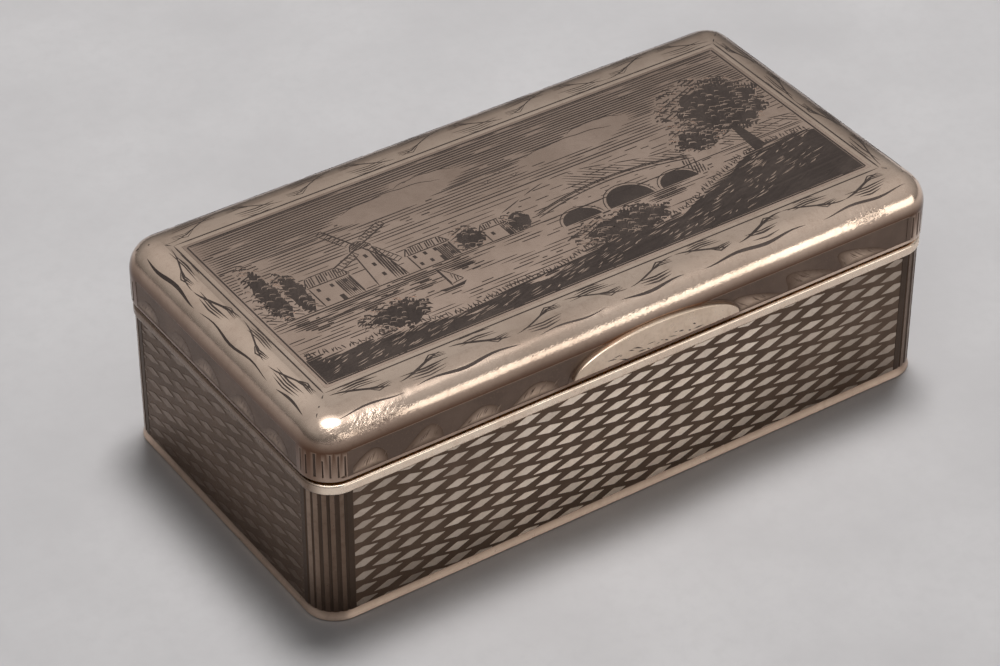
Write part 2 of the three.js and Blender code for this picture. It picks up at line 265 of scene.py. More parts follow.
@dataclass(frozen=True)
class WornMetal(Finish):
    """A soft metal with tarnish in clouds, rubbed patches, fine scratches and grain."""

    clean: Colour
    tarnish: Colour
    cover: float = 0.6  # most that tarnish hides
    rubbed: float = 0.24  # roughness where it is rubbed bright
    dull: float = 0.42  # roughness under tarnish
    cloud: float = 9.0
    scratches: float = 0.25
    grain: float = 0.25
    speckle: float = 0.35
    dim: Colour = (0.15, 0.115, 0.10)  # share of the colour left at a tone of 0, where tarnish and painted shade are darkest
    clouds: Texture = Texture(9.0, 6.0, (0.38, 0.66))
    mottle: Texture = Texture(0.8, 5.0, (0.5, 0.78))
    dull_band: Point2 = (0.3, 0.72)  # mottle where the metal is rubbed and where it is dull
    fine: Texture = Texture(0.18, 3.0, (0.58, 0.72))
    long_scratch: Texture = Texture(0.16, 2.0, (0.6, 0.7), (45, 1, 1), (0.2, 0.1, 0.35))
    cross_scratch: Texture = Texture(0.2, 2.0, (0.64, 0.72), (1, 30, 30), (0.1, 0.3, 0.5))
    pit: Texture = Texture(0.45, 3.0)
    pit_strength: float = 0.8
    pit_depth: float = 0.5
    pit_speck: Texture = Texture(0.3, 3.0, (0.5, 0.62))
    pit_colour: Colour = (0.10, 0.06, 0.04)

    def shade(self, sheet: ShaderSheet) -> bpy.types.Material:
        """Lays out the metal's shader.

        Args:
            sheet: An empty sheet.

        Returns:
            The material.
        """
        clouds = sheet.noise(replace(self.clouds, size=self.cloud))
        mottle, fine = sheet.noise(self.mottle), sheet.noise(self.fine)
        colour = sheet.stain(self.clean, self.tarnish, clouds, self.clouds.band, self.cover)
        colour = sheet.stain(colour, self.tarnish, mottle, self.mottle.band, 0.55)
        colour = sheet.stain(colour, self.tarnish, fine, self.fine.band, self.speckle)
        colour = sheet.toned(colour, self.dim)
        pitted = sheet.layer("pits")
        specks = sheet.spread(sheet.noise(self.pit_speck), self.pit_speck.band, (0.0, 1.0))
        share = sheet.times(sheet.times(specks, pitted), 0.8)
        colour = sheet.blend(share, colour, self.pit_colour)
        rough = sheet.spread(mottle, self.dull_band, (self.rubbed, self.dull))
        pits = sheet.times(sheet.noise(self.pit), pitted)
        normal = sheet.bump(pits, self.pit_strength, self.pit_depth)
        normal = sheet.bump(mottle, self.grain / 2, 0.05, normal)
        normal = sheet.bump(fine, self.grain, 0.02, normal)
        for scratch in (self.long_scratch, self.cross_scratch):
            grooves = sheet.spread(sheet.noise(scratch), scratch.band, (1.0, 0.0))
            normal = sheet.bump(grooves, self.scratches, 0.015, normal)
        return sheet.finish(Base_Color=colour, Metallic=1.0, Roughness=rough, Normal=normal)


@dataclass(frozen=True)
class Niello(Finish):
    """Fused black sulphide, rubbed towards grey where hands have passed."""

    dark: Colour
    rubbed: Colour
    worn: Point2 = (0.05, 0.45)  # least and most that wear greys it
    dim: Colour = (0.5, 0.5, 0.5)
    roughness: Point2 = (0.36, 0.55)
    rough_band: Point2 = (0.3, 0.7)
    clouds: Texture = Texture(5.0, 5.0, (0.42, 0.7))
    grit: Texture = Texture(0.22, 4.0, (0.55, 0.75))
    drag: Texture = Texture(0.3, 2.0, stretch=(25, 1, 1), turn=(0, 0, 0.15))
    relief: float = 0.02

    def shade(self, sheet: ShaderSheet) -> bpy.types.Material:
        """Lays out the niello's shader.

        Args:
            sheet: An empty sheet.

        Returns:
            The material.
        """
        grit = sheet.noise(self.grit)
        wear = sheet.spread(sheet.noise(self.clouds), self.clouds.band, self.worn)
        colour = sheet.blend(wear, self.dark, self.rubbed)
        colour = sheet.stain(colour, self.rubbed, grit, self.grit.band, 0.5)
        colour = sheet.toned(colour, self.dim)
        rough = sheet.spread(grit, self.rough_band, self.roughness)
        normal = sheet.bump(grit, 0.25, self.relief)
        normal = sheet.bump(sheet.noise(self.drag), 0.15, self.relief, normal)
        return sheet.finish(Base_Color=colour, Metallic=0.75, Roughness=rough, Normal=normal)


@dataclass(frozen=True)
class PaperFloor(Finish):
    """Pale grey paper with a soft mottle."""

    light: Colour
    dark: Colour
    drift: Texture = Texture(28.0, 5.0, (0.35, 0.68))
    fleck: Texture = Texture(1.6, 4.0, (0.45, 0.75))

    def shade(self, sheet: ShaderSheet) -> bpy.types.Material:
        """Lays out the paper's shader.

        Args:
            sheet: An empty sheet.

        Returns:
            The material.
        """
        drift, fleck = sheet.noise(self.drift), sheet.noise(self.fleck)
        colour = sheet.stain(self.light, self.dark, drift, self.drift.band, 1.0)
        colour = sheet.stain(colour, self.dark, fleck, self.fleck.band, 0.4)
        normal = sheet.bump(fleck, 0.2, 0.08)
        shine = {"Roughness": 0.85, "Specular_IOR_Level": 0.2}
        return sheet.finish(Base_Color=colour, Normal=normal, **shine)


LID_SILVER = WornMetal("lid_silver", (0.82, 0.645, 0.52), (0.58, 0.43, 0.335), cover=0.5, rubbed=0.15,
                       dull=0.2, scratches=0.1, grain=0.05, dim=(0.11, 0.055, 0.03))
CASE_SILVER = WornMetal("case_silver", (0.66, 0.51, 0.40), (0.36, 0.25, 0.18), rubbed=0.26)
BAND_SILVER = WornMetal("band_silver", (0.90, 0.76, 0.62), (0.64, 0.47, 0.36), cover=0.45, rubbed=0.2,
                        dull=0.34, cloud=6.0)
FOOT_SILVER = WornMetal("foot_silver", (0.90, 0.70, 0.56), (0.68, 0.51, 0.40), cover=0.35, rubbed=0.26,
                        cloud=5.0)
DIAPER_SILVER = WornMetal("diaper_silver", (0.84, 0.73, 0.62), (0.60, 0.48, 0.39), cover=0.3, rubbed=0.34,
                          dull=0.5, cloud=4.0, scratches=0.15, grain=0.6, speckle=0.6,
                          dim=(0.15, 0.107, 0.088))
PLATE_SILVER = WornMetal("plate_silver", (0.74, 0.56, 0.455), (0.52, 0.38, 0.30), rubbed=0.16, dull=0.26,
                         cloud=7.0, grain=0.1)
THUMB_SILVER = WornMetal("thumb_silver", (0.82, 0.66, 0.52), (0.55, 0.41, 0.30), cover=0.5, dull=0.44,
                         cloud=4.0)
HINGE_SILVER = WornMetal("hinge_silver", (0.66, 0.53, 0.43), (0.32, 0.23, 0.17), cover=0.7, rubbed=0.26,
                         dull=0.44, cloud=3.0)
GILT = WornMetal("gilt", (0.78, 0.54, 0.24), (0.46, 0.28, 0.11), cover=0.5, dull=0.40, cloud=6.0, dim=WHITE)
GROUND_NIELLO = Niello("ground_niello", (0.112, 0.071, 0.047), (0.21, 0.14, 0.10))
LID_NIELLO = Niello("lid_niello", (0.135, 0.092, 0.070), (0.26, 0.18, 0.135))
STROKE_NIELLO = Niello("stroke_niello", (0.082, 0.062, 0.054), (0.17, 0.13, 0.11))


class MeshDraft:
    """Vertices and faces of one piece, gathered in millimetres before its mesh is made."""

    def __init__(self, rings: Sequence[np.ndarray] = (), loop: bool = False) -> None:
        """Starts with rings joined into a closed form, or with nothing.

        Args:
            rings: The rings, all with as many points.
            loop: Whether the last ring joins the first.
        """
        self.points: list[Sequence[float]] = []
        self.faces: list[tuple[int, ...]] = []
        self.finishes: list[int] = []
        self.tones: list[float] = []
        if len(rings):
            self.loft(rings, loop)

    def add(self, points: Sequence[Any], faces: Sequence[Sequence[int]], finish: int, tone: float) -> None:
        """Adds a closed form.

        Args:
            points: Its points.
            faces: Its faces, as numbers of those points.
            finish: Number of its finish.
            tone: Its brightness among its like, from 0 to 1.
        """
        start = len(self.points)
        self.points.extend(tuple(map(float, point)) for point in points)
        self.tones.extend([tone] * len(points))
        self.faces.extend(tuple(start + number for number in face) for face in faces)
        self.finishes.extend([finish] * len(faces))

    def loft(self, rings: Sequence[np.ndarray], loop: bool = False, finish: int = 0,
             tone: float = PLAIN) -> None:
        """Joins rings of points into a closed form.

        Args:
            rings: The rings, all with as many points.
            loop: Whether the last ring joins the first; otherwise both end in a flat face.
            finish: Number of its finish.
            tone: Its brightness among its like.
        """
        count = len(rings[0])
        faces: list[tuple[int, ...]] = []
        for strip in range(len(rings) - (not loop)):
            low, high = strip * count, (strip + 1) % len(rings) * count
            for here in range(count):
                onward = (here + 1) % count
                faces.append((low + here, low + onward, high + onward, high + here))
        if not loop:
            last = (len(rings) - 1) * count
            faces += [tuple(range(count)), tuple(range(last, last + count))]
        self.add(np.concatenate(rings), faces, finish, tone)

    def repaint(self, start: int, stop: int, finish: int) -> None:
        """Gives a run of faces another finish."""
        self.finishes[start:stop] = [finish] * len(self.finishes[start:stop])

    def mesh(self, name: str) -> bpy.types.Mesh:
        """The draft as a mesh with every face turned outward.

        Args:
            name: The mesh's name.

        Returns:
            The mesh, still in millimetres.
        """
        mesh = bpy.data.meshes.new(name)
        mesh.from_pydata(self.points, [], self.faces)
        mesh.polygons.foreach_set("material_index", self.finishes)
        mesh.attributes.new("tone", "FLOAT", "POINT").data.foreach_set("value", self.tones)
        editor = bmesh.new()
        editor.from_mesh(mesh)
        bmesh.ops.recalc_face_normals(editor, faces=editor.faces)
        editor.to_mesh(mesh)
        editor.free()
        return mesh

    def show(self, name: str, finishes: Sequence[Finish]) -> Piece:
        """The draft as an object in the scene.

        Args:
            name: The object's name.
            finishes: The finishes that its faces number.

        Returns:
            The object, still in millimetres.
        """
        piece = bpy.data.objects.new(name, self.mesh(name))
        bpy.context.scene.collection.objects.link(piece)
        for finish in finishes:
            piece.data.materials.append(finish.material())
        return piece


def carve(piece: Piece, cutters: Sequence[MeshDraft], finishes: Sequence[Finish]) -> None:
    """Cuts solids out of a piece.

    Args:
        piece: The piece, still in millimetres.
        cutters: What is cut away; the new faces take the finishes that its faces number.
        finishes: The piece's finishes.
    """
    tools = [draft.show("cutter", finishes) for draft in cutters]
    for tool in tools:
        modifier = piece.modifiers.new("cut", "BOOLEAN")
        modifier.solver = "MANIFOLD"
        modifier.object = tool
    made = bpy.data.meshes.new_from_object(piece.evaluated_get(bpy.context.evaluated_depsgraph_get()))
    piece.modifiers.clear()
    piece.data = made
    for tool in tools:
        bpy.data.objects.remove(tool)


def tint(piece: Piece, rule: Rule, layer: str = "tone") -> None:
    """Sets a layer of a piece, still in millimetres, by a rule that gives the value at a place."""
    kept = piece.data.attributes.get(layer) or piece.data.attributes.new(layer, "FLOAT", "POINT")
    kept.data.foreach_set("value", [rule(vertex.co) for vertex in piece.data.vertices])


def settle(piece: Piece, body: Body, slot: Slot, *nodes: str) -> Piece:
    """Brings a finished piece to metres and gives it its place in the frame.

    Args:
        piece: The piece, in millimetres.
        body: The body that it rides on.
        slot: Its material slot; not used.
        *nodes: The solids that it stands for.

    Returns:
        The piece.
    """
    piece.data.transform(Matrix.Scale(MM, 4))
    piece.data.shade_smooth()
    piece.data.set_sharp_from_angle(angle=radians(CREASE))
    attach(piece, body.value)
    if nodes:
        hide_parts(*nodes)
    return piece


def span(node: str) -> tuple[Vector, Vector]:
    """Lowest and highest corners of a solid, in millimetres."""
    low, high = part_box(node)
    return low / MM, high / MM


def prism(outline: Outline, *heights: float) -> list[np.ndarray]:
    """An outline as a ring of points at each height."""
    return [np.column_stack([outline, np.full(len(outline), z)]) for z in heights]


@dataclass(frozen=True)
class Plan:
    """The rounded rectangle that every ring of the case and the lid follows."""

    half_length: float
    half_depth: float
    corner: float = 3.3
    least: float = 0.2  # smallest radius of an inner corner
    corner_steps: int = 14
    pitch: float = 1.2  # spacing of points along the sides

    def centre(self, number: int, inset: float) -> Point3:
        """Centre and radius of a corner.

        Args:
            number: The corner, counted anticlockwise from the front right.
            inset: How far the plan is drawn in.

        Returns:
            X, Y and radius.
        """
        radius = max(self.corner - inset, self.least)
        x = self.half_length - inset - radius
        y = self.half_depth - inset - radius
        return (x if number in (0, 1) else -x), (y if number in (1, 2) else -y), radius

    def ring(self, inset: float, height: float) -> np.ndarray:
        """Points round the plan, anticlockwise.

        Args:
            inset: How far the plan is drawn in.
            height: Their height.

        Returns:
            The points, one in each row.
        """
        arcs = []
        for number in range(4):
            x, y, radius = self.centre(number, inset)
            turn = np.radians(90 * (number - 1) + np.linspace(0, 90, self.corner_steps + 1))
            arcs.append(np.stack([x + radius * np.cos(turn), y + radius * np.sin(turn)], 1))
        parts = []
        for number, arc in enumerate(arcs):
            following = arcs[(number + 1) % 4][0]
            half = self.half_length if number % 2 else self.half_depth
            shares = np.linspace(0, 1, int(2 * half / self.pitch) + 1)[1:-1, None]
            parts += [arc, arc[-1] + (following - arc[-1]) * shares]
        return prism(np.concatenate(parts), height)[0]

    def rings(self, profile: Outline) -> list[np.ndarray]:
        """A ring for each inset and height of a profile."""
        return [self.ring(inset, height) for inset, height in profile]


def rounding(inset: float, height: float, reach: float, rise: float, steps: int) -> list[Point2]:
    """Insets and heights of a quarter oval from an upright face to a level one, of a reach and a rise."""
    turns = np.linspace(0, pi / 2, steps + 1)
    return [(inset + reach * (1 - cos(turn)), height + rise * sin(turn)) for turn in turns]


@dataclass(frozen=True)
class BoxSizes:
    """Main sizes of the box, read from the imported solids."""

    plan: Plan
    foot_top: float
    wall_top: float
    seam: float
    band_proud: float
    wall_inside: float  # inset of the wall's inner face
    lid_bottom: float
    lid_top: float
    overhang: float
    hinge: Point2  # Y and Z of the hinge's axis
    hinge_half: float
    bearer_radius: float
    niello_depth: float
    lid_wall: float = 3.4
    lid_reach: float = 3.1  # width of its rounded edge
    skin: float = 0.02  # room for strokes on the lid's top
    bearer_clearance: float = 0.06
    bearer_angle: float = 56.0  # degrees, to a bearer's outer edge

    @classmethod
    def read(cls) -> "BoxSizes":
        """Reads the sizes from the frame.

        Returns:
            The sizes.
        """
        rim = span("rim_band")
        lid = span("lid_cover")
        pin = span("hinge_pin")
        bearer = span("body_hinge_bearer")
        field_low, field_high = span("niello_body_front")
        hinge = ((pin[0].y + pin[1].y) / 2, (pin[0].z + pin[1].z) / 2)
        return cls(
            plan=Plan(rim[1].x, -rim[0].y),
            foot_top=span("foot_band")[1].z,
            wall_top=rim[0].z,
            seam=rim[1].z,
            band_proud=field_low.y - rim[0].y,
            wall_inside=rim[1].x - span("bezel")[1].x,
            lid_bottom=lid[0].z,
            lid_top=lid[1].z,
            overhang=lid[1].x - rim[1].x,
            hinge=hinge,
            hinge_half=bearer[1].x,
            bearer_radius=hinge[0] - bearer[0].y,
            niello_depth=field_high.y - field_low.y,
        )

    def turned(self, profile: Outline, segments: int = 48) -> list[np.ndarray]:
        """Rings round the hinge's axis.

        Args:
            profile: Places along X and radii.
            segments: How many points a ring has.

        Returns:
            The rings.
        """
        turn = np.linspace(0, 2 * pi, segments, endpoint=False)
        y, z = self.hinge
        return [
            np.stack([np.full(segments, x), y + radius * np.cos(turn), z + radius * np.sin(turn)], 1)
            for x, radius in profile
        ]

    def hinge_room(self) -> list[MeshDraft]:
        """Room for the bearers' seat and for the groove where the lid's back edge swings.

        Returns:
            The cutters.
        """
        seat = self.bearer_radius + self.bearer_clearance
        edge = self.plan.half_depth + self.overhang - self.hinge[0]
        groove = edge / cos(radians(self.bearer_angle))
        rooms = ((seat, self.hinge_half + self.bearer_clearance), (groove, self.plan.half_length + PAST))
        return [MeshDraft(self.turned([(-half, radius), (half, radius)])) for radius, half in rooms]


@dataclass(frozen=True)
class PatinaAndPaintedLight:
    """Tone of each part of the outside, from 0 where it is dull and brown: tarnish and wear, with painted
    shade and painted highlights in places.
    """

    sizes: BoxSizes
    face_share: float = 1.2
    face_fall: float = 0.9
    brightest: float = -1.0  # X of the front's brightest place
    fall: float = 21.0  # along X, to where the front is dull
    front: float = 0.69
    front_ends: float = 0.2
    # the left end is much darker than the front: painted shade
    left_end: float = 0.075
    corner: Point2 = (0.095, 0.18)  # fluted corners, near the front and near the end
    hidden: float = 0.28
    rim_band: Point2 = (0.58, 0.06)  # front and left end, the left end darkened as painted shade
    foot_band: Point2 = (0.27, 0.4)  # front and left end
    # painted shade along the foot band's upper edge: how much darker it is, and the share of its height where
    # it starts
    foot_shade: float = 0.85
    foot_shade_from: float = 0.45
    lip_left: float = 0.25  # lower edge beside the thumb piece and under
    lip_right: float = 0.45
    # under the thumb piece the lower edge is darkened by tarnish and painted shade
    lip_under: float = 0.08
    lip_height: float = 0.5
    # the lower edge darkens towards the left end: painted shade
    lip_end_loss: float = 0.7
    # middle, half width and fade of that darkening under the thumb piece
    shade_dirt_middle: float = 1.0
    shade_dirt_half: float = 11.5
    shade_dirt_fade: float = 2.0
    lid_wall: float = 0.2
    # the wall darkens towards the left end: painted shade
    wall_end_loss: float = 0.5
    wall_margin: float = 0.1
    lid_crease: float = 0.03  # just above the lid's fields
    crease_rise: float = 1.3  # height in which the crease clears
    lid_plain: float = 0.58  # the lid's top at the right of its front
    lid_far: float = 0.17  # the lid's top along its back and right edges, darkened as painted shade
    lid_near: float = 0.37  # along its left front, darkened as painted shade
    # brighter at the left end: rubbed wear and painted highlight together
    lid_end: float = 0.74
    border: Point2 = (0.72, 0.2)  # start and fade of the long edges
    ends: Point2 = (0.86, 0.1)  # start and fade of the ends
    right_from: Point2 = (-14.0, 4.0)  # start and fade along Y of the right edge
    near_to: Point2 = (24.0, 30.0)  # end and fade of the left front
    edge_highlight: float = 0.2  # painted highlight along its rounded front edge
    edge_highlight_place: Point2 = (2.15, 0.45)  # height and spread of that painted highlight

    @property
    def length(self) -> float:
        """Half the box's length."""
        return self.sizes.plan.half_length

    @property
    def depth(self) -> float:
        """Half the box's depth."""
        return self.sizes.plan.half_depth

    def faces(self, x: float, y: float) -> Floats:
        """How nearly a place lies on the left, right and back faces, as a share for each."""
        gaps = (self.length + x, self.length - x, self.depth - y)
        return tuple(held(self.face_share - gap / self.face_fall) for gap in gaps)

    def around(self, place: Place, front: float, left_end: float) -> float:
        """Tone at a place on the case, from the tones of its front there and of its left end."""
        left, right, back = self.faces(place[0], place[1])
        return mixed(mixed(front, self.hidden, max(right, back)), left_end, left)

    def wall(self, place: Place) -> float:
        """Tone at a place on the case's wall, brightest near the middle of its front."""
        rubbed = exp(-(((place[0] - self.brightest) / self.fall) ** 2))
        return self.around(place, mixed(self.front_ends, self.front, rubbed), self.left_end)

    def flutes(self, place: Place) -> float:
        """Tone at a place on a fluted corner."""
        return self.around(place, *self.corner)

    def rim(self, place: Place) -> float:
        """Tone at a place on the rim band."""
        return self.around(place, *self.rim_band)

    def foot(self, place: Place) -> float:
        """Tone at a place on the foot band, darkened by painted shade along its upper edge."""
        shade_share = held((place[2] / self.sizes.foot_top - self.foot_shade_from) / (1 - self.foot_shade_from))
        return self.around(place, *self.foot_band) * (1 - self.foot_shade * shade_share)

    def lip(self, x: float) -> float:
        """Tone along the lid's lower edge, darkened under the thumb piece by tarnish and painted shade."""
        shade_share = held((self.shade_dirt_half - abs(x - self.shade_dirt_middle)) / self.shade_dirt_fade)
        return mixed(self.lip_left if x < 0 else self.lip_right, self.lip_under, shade_share)

    def lid(self, place: Place) -> float:
        """Tone at a place on the lid.

        Args:
            place: The place.

        Returns:
            The tone.
        """
        x, y, z = place
        left = self.faces(x, y)[0]
        above = z - self.sizes.lid_bottom - self.sizes.lid_wall
        if above < self.lip_height - self.sizes.lid_wall:
            return self.lip(x) * (1 - self.lip_end_loss * left)
        if above < -self.wall_margin:
            return self.lid_wall * (1 - self.wall_end_loss * left)
        back, front = (held((sign * y / self.depth - self.border[0]) / self.border[1])
                       for sign in (1, -1))
        right, end = (held((sign * x / self.length - self.ends[0]) / self.ends[1])
                      for sign in (1, -1))
        right *= held((y - self.right_from[0]) / self.right_from[1])
        # painted light and shade across the top: darker along the back and right edges and at the left front,
        # brighter at the left end
        top = self.lid_plain
        top += (self.lid_far - top) * max(back, right) + (self.lid_end - top) * end * (1 - front)
        top += (self.lid_near - self.lid_plain) * front * held((self.near_to[0] - x) / self.near_to[1])
        # a painted highlight band along the rounded front edge
        top += self.edge_highlight * front * exp(-(((above - self.edge_highlight_place[0]) / self.edge_highlight_place[1]) ** 2))
        clear = held(above / (self.crease_rise * (1 + left))) ** 1.3
        return mixed(self.lid_crease, top, clear)


@dataclass(frozen=True)
class FlatFace:
    """A flat face, with U running to a viewer's right and V up."""

    origin: Point3
    across: Point3
    up: Point3
    outward: Point3

    def at(self, u: float, v: float, lift: float) -> np.ndarray:
        """A point of the face, raised by a lift."""
        axes = np.array([self.across, self.up, self.outward], float)
        return np.array(self.origin, float) + np.array([u, v, lift]) @ axes


class Side(Enum):
    """Sides of the box, each with the direction that it faces and the one that runs to its right."""

    FRONT = ((0, -1, 0), (1, 0, 0))
    BACK = ((0, 1, 0), (-1, 0, 0))
    LEFT = ((-1, 0, 0), (0, -1, 0))
    RIGHT = ((1, 0, 0), (0, 1, 0))

    def face(self, half_length: float, half_depth: float) -> FlatFace:
        """The upright face on this side of a block of a half length and half depth."""
        (x, y, z), across = self.value
        return FlatFace((x * half_length, y * half_depth, 0.0), across, (0, 0, 1), (x, y, z))


@dataclass(frozen=True)
class LidTop:
    """The lid's flat top and rounded edge, with U along X and V along Y."""

    sizes: BoxSizes
    tiny: float = 1e-9  # keeps a length from 0

    def at(self, u: float, v: float, lift: float) -> np.ndarray:
        """A point of the lid.

        Args:
            u: Its X.
            v: Its Y.
            lift: How far it is raised.

        Returns:
            The point.
        """
        sizes = self.sizes
        x, y, radius = sizes.plan.centre(1, -sizes.overhang)
        out = np.array([max(abs(u) - x, 0) * np.sign(u), max(abs(v) - y, 0) * np.sign(v)])
        far = float(np.linalg.norm(out))
        share = held((far - radius + sizes.lid_reach) / sizes.lid_reach)
        rise = sizes.lid_top - sizes.skin - sizes.lid_bottom - sizes.lid_wall
        height = sqrt(1 - share * share)
        slope = out / max(far, self.tiny) * share / sizes.lid_reach
        normal = np.array([*slope, height / rise + self.tiny])
        normal /= np.linalg.norm(normal)
        return np.array([u, v, sizes.lid_bottom + sizes.lid_wall + rise * height]) + normal * lift


def sides(outline: Outline) -> list[tuple[Point2, Point2]]:
    """The sides of an outline, each as its two ends."""
    return list(zip(outline, [*outline[1:], *outline[:1]]))


def rectangle(low: Point2, high: Point2) -> list[Point2]:
    """The corners of a rectangle, anticlockwise from its lowest."""
    return [low, (high[0], low[1]), high, (low[0], high[1])]


def inside(outline: Outline, u: float, v: float) -> bool:
    """Whether a point lies within an outline.

    Args:
        outline: The outline.
        u: The point's place across.
        v: The point's height.

    Returns:
        True within it.
    """
    odd = False
    for (ua, va), (ub, vb) in sides(outline):
        if (va > v) != (vb > v) and u < (ub - ua) * (v - va) / (vb - va) + ua:
            odd = not odd
    return odd


def clip(outline: Outline, low: Point2, high: Point2) -> list[Point2]:
    """The part of an outline within a rectangle.

    Args:
        outline: The outline.
        low: Lowest corner of the rectangle.
        high: Highest corner of the rectangle.

    Returns:
        The outline that is left, or nothing.
    """
    left = [np.array(point, float) for point in outline]
    for axis in (0, 1):
        for limit, sign in ((low[axis], 1), (high[axis], -1)):
            kept: list[np.ndarray] = []
            for first, second in sides(left):
                a, b = (first[axis] - limit) * sign, (second[axis] - limit) * sign
                if a >= 0:
                    kept.append(first)
                if (a >= 0) != (b >= 0):
                    kept.append(first + (second - first) * a / (a - b))
            left = kept
    return [(float(point[0]), float(point[1])) for point in left]


def ahead_and_aside(degrees: float) -> tuple[np.ndarray, np.ndarray]:
    """The direction at an angle and the one to its left."""
    turn = radians(degrees)
    return np.array([cos(turn), sin(turn)]), np.array([-sin(turn), cos(turn)])


@dataclass
class Graver:
    """Cuts ornament into one surface of a piece: tapered strokes, rulings and filled shapes."""

    draft: MeshDraft
    surface: FlatFace | LidTop
    chance: random.Random
    finish: int = 1
    proud: float = 0.008
    depth: float = 0.05
    stagger: float = 0.004  # most that one stroke stands above another
    tones: Point2 = (0.35, 0.65)  # least and most brightness of a stroke
    shortest: float = 1e-6
    fill_stagger: Point2 = (0.2, 1.0)  # stagger of a filled shape, as shares
    glow_shares: Floats = (1.0, 0.8, 0.6, 0.4, 0.2, 0.05)  # sizes of a glow's rings
    step: float = 0.2  # spacing of points along a ruled line
    waver: float = 0.012  # most that the hand strays from it
    gaps: Point2 = (0.3, 1.3)  # length of a worn gap in it
    pressure: Point2 = (0.75, 1.2)  # share of its width

    def stroke(self, path: Outline, width: float, taper: float = 0.12) -> None:
        """Cuts a groove, pointed at both ends, and fills it level.

        Args:
            path: The points that it follows.
            width: Its width.
            taper: Share of its length in which each end narrows.
        """
        line = np.array(path, float)
        if len(line) < 4:
            marks = np.linspace(0, 1, len(line))
            wanted = np.array([0, taper, 0.5, 1 - taper, 1])
            line = np.stack([np.interp(wanted, marks, line[:, axis]) for axis in (0, 1)], 1)
        steps = np.r_[0, np.cumsum(np.linalg.norm(np.diff(line, axis=0), axis=1))]
        if steps[-1] < self.shortest:
            return
        share = steps / steps[-1]
        run = np.gradient(line, axis=0)
        run /= np.maximum(np.linalg.norm(run, axis=1, keepdims=True), self.shortest)
        side = np.stack([-run[:, 1], run[:, 0]], 1)
        swell = np.minimum(1, np.minimum(share, 1 - share) / taper) ** 0.7 * width / 2
        level = self.proud + self.chance.uniform(0, self.stagger)
        points = [self.surface.at(*line[0], level)]
        for place, half, turn in zip(line[1:-1], swell[1:-1], side[1:-1]):
            points.append(self.surface.at(*(place + turn * half), level))
            points.append(self.surface.at(*(place - turn * half), level))
            points.append(self.surface.at(*place, -self.depth))
        points.append(self.surface.at(*line[-1], level))
        end = len(points) - 1
        faces: list[tuple[int, ...]] = [(0, 1, 2), (0, 2, 3), (0, 3, 1)]
        for low in range(1, end - 3, 3):
            faces += [(low + a, low + b, low + b + 3, low + a + 3) for a, b in ((0, 1), (1, 2), (2, 0))]
        faces += [(end, end - 2, end - 3), (end, end - 1, end - 2), (end, end - 3, end - 1)]
        self.draft.add(points, faces, self.finish, self.chance.uniform(*self.tones))

    def fill(self, outline: Outline) -> None:
        """Fills a shape level with the surface."""
        lower = self.chance.uniform(*self.fill_stagger) * self.stagger
        self.inlay(outline, self.depth, self.proud - lower)

    def glow(self, outline: Outline, heart: Point2, edge: float, bright: float) -> None:
        """Lays in a shape whose tone runs from bright at its heart to dark at its edge.

        Args:
            outline: The shape.
            heart: Its brightest place.
            edge: Tone at the edge.
            bright: Tone at the heart.
        """
        flat, middle = np.array(outline, float), np.array(heart)
        level = self.proud + self.chance.uniform(0, self.stagger)
        levels = [(1.0, -self.depth)] + [(share, level) for share in self.glow_shares]
        rings = [np.array([self.surface.at(*(middle + (point - middle) * share), lift) for point in flat])
                 for share, lift in levels]
        start = len(self.draft.tones)
        self.draft.loft(rings, finish=self.finish)
        self.draft.tones[start:] = [mixed(bright, edge, share) for share, _ in levels for _ in outline]

    def inlay(self, outline: Outline, depth: float, proud: float, bevel: float = 1.0,
              tone: float = PLAIN) -> None:
        """Lets a flat shape into the surface.

        Args:
            outline: The shape.
            depth: How deep it reaches.
            proud: How far it stands out.
            bevel: Size of its face as a share of the shape.
            tone: Its brightness.
        """
        flat = np.array(outline, float)
        levels = [(flat, -depth), (flat.mean(0) + (flat - flat.mean(0)) * bevel, proud)]
        if bevel < 1:
            levels.insert(1, (flat, proud * 0.4))
        rings = [np.array([self.surface.at(*point, lift) for point in shape]) for shape, lift in levels]
        self.draft.loft(rings, finish=self.finish, tone=tone)

    def rule(self, region: Region, box: tuple[Point2, Point2], slant: float, pitch: float, width: float,
             wear: float = 0.05) -> None:
        """Rules parallel strokes over a region.

        Args:
            region: Tells whether a point takes a stroke.
            box: Lowest and highest corners that hold the region.
            slant: Direction of the strokes, in degrees.
            pitch: Distance between them.
            width: Their width.
            wear: Gaps in each millimetre of a stroke.
        """
        step = self.step
        ahead, aside = ahead_and_aside(slant)
        corners = np.array(rectangle(*box))
        alongs, offsets = corners @ ahead, corners @ aside
        for offset in np.arange(offsets.min() + pitch / 2, offsets.max(), pitch):
            drawn: list[Point2] = []
            gap = -inf
            for along in np.arange(alongs.min(), alongs.max() + step, step):
                u, v = ahead * along + aside * (offset + self.chance.uniform(-self.waver, self.waver))
                if self.chance.random() < wear * step:
                    gap = along + self.chance.uniform(*self.gaps)
                within = box[0][0] <= u <= box[1][0] and box[0][1] <= v <= box[1][1]
                if within and along > gap and region(u, v):
                    drawn.append((u, v))
                    continue
                self.draw_run(drawn, width)
                drawn = []
            self.draw_run(drawn, width)

    def draw_run(self, drawn: Outline, width: float) -> None:
        """Cuts one unbroken run of a ruling, unless it is too short to see.

        Args:
            drawn: Its points.
            width: Its width.
        """
        if len(drawn) > 2:
            thinned = [*drawn[: -1 : 7], drawn[-1]]
            self.stroke(thinned, width * self.chance.uniform(*self.pressure), 0.08)


def flute_profile(width: float, depth: float, steps: int = 7, fullness: float = 2.5) -> list[Point2]:
    """Places across a flute, from -width / 2 to width / 2, and its depth at each."""
    return [(share * width / 2, depth * (1 - abs(share) ** fullness)) for share in np.linspace(-1, 1, steps)]


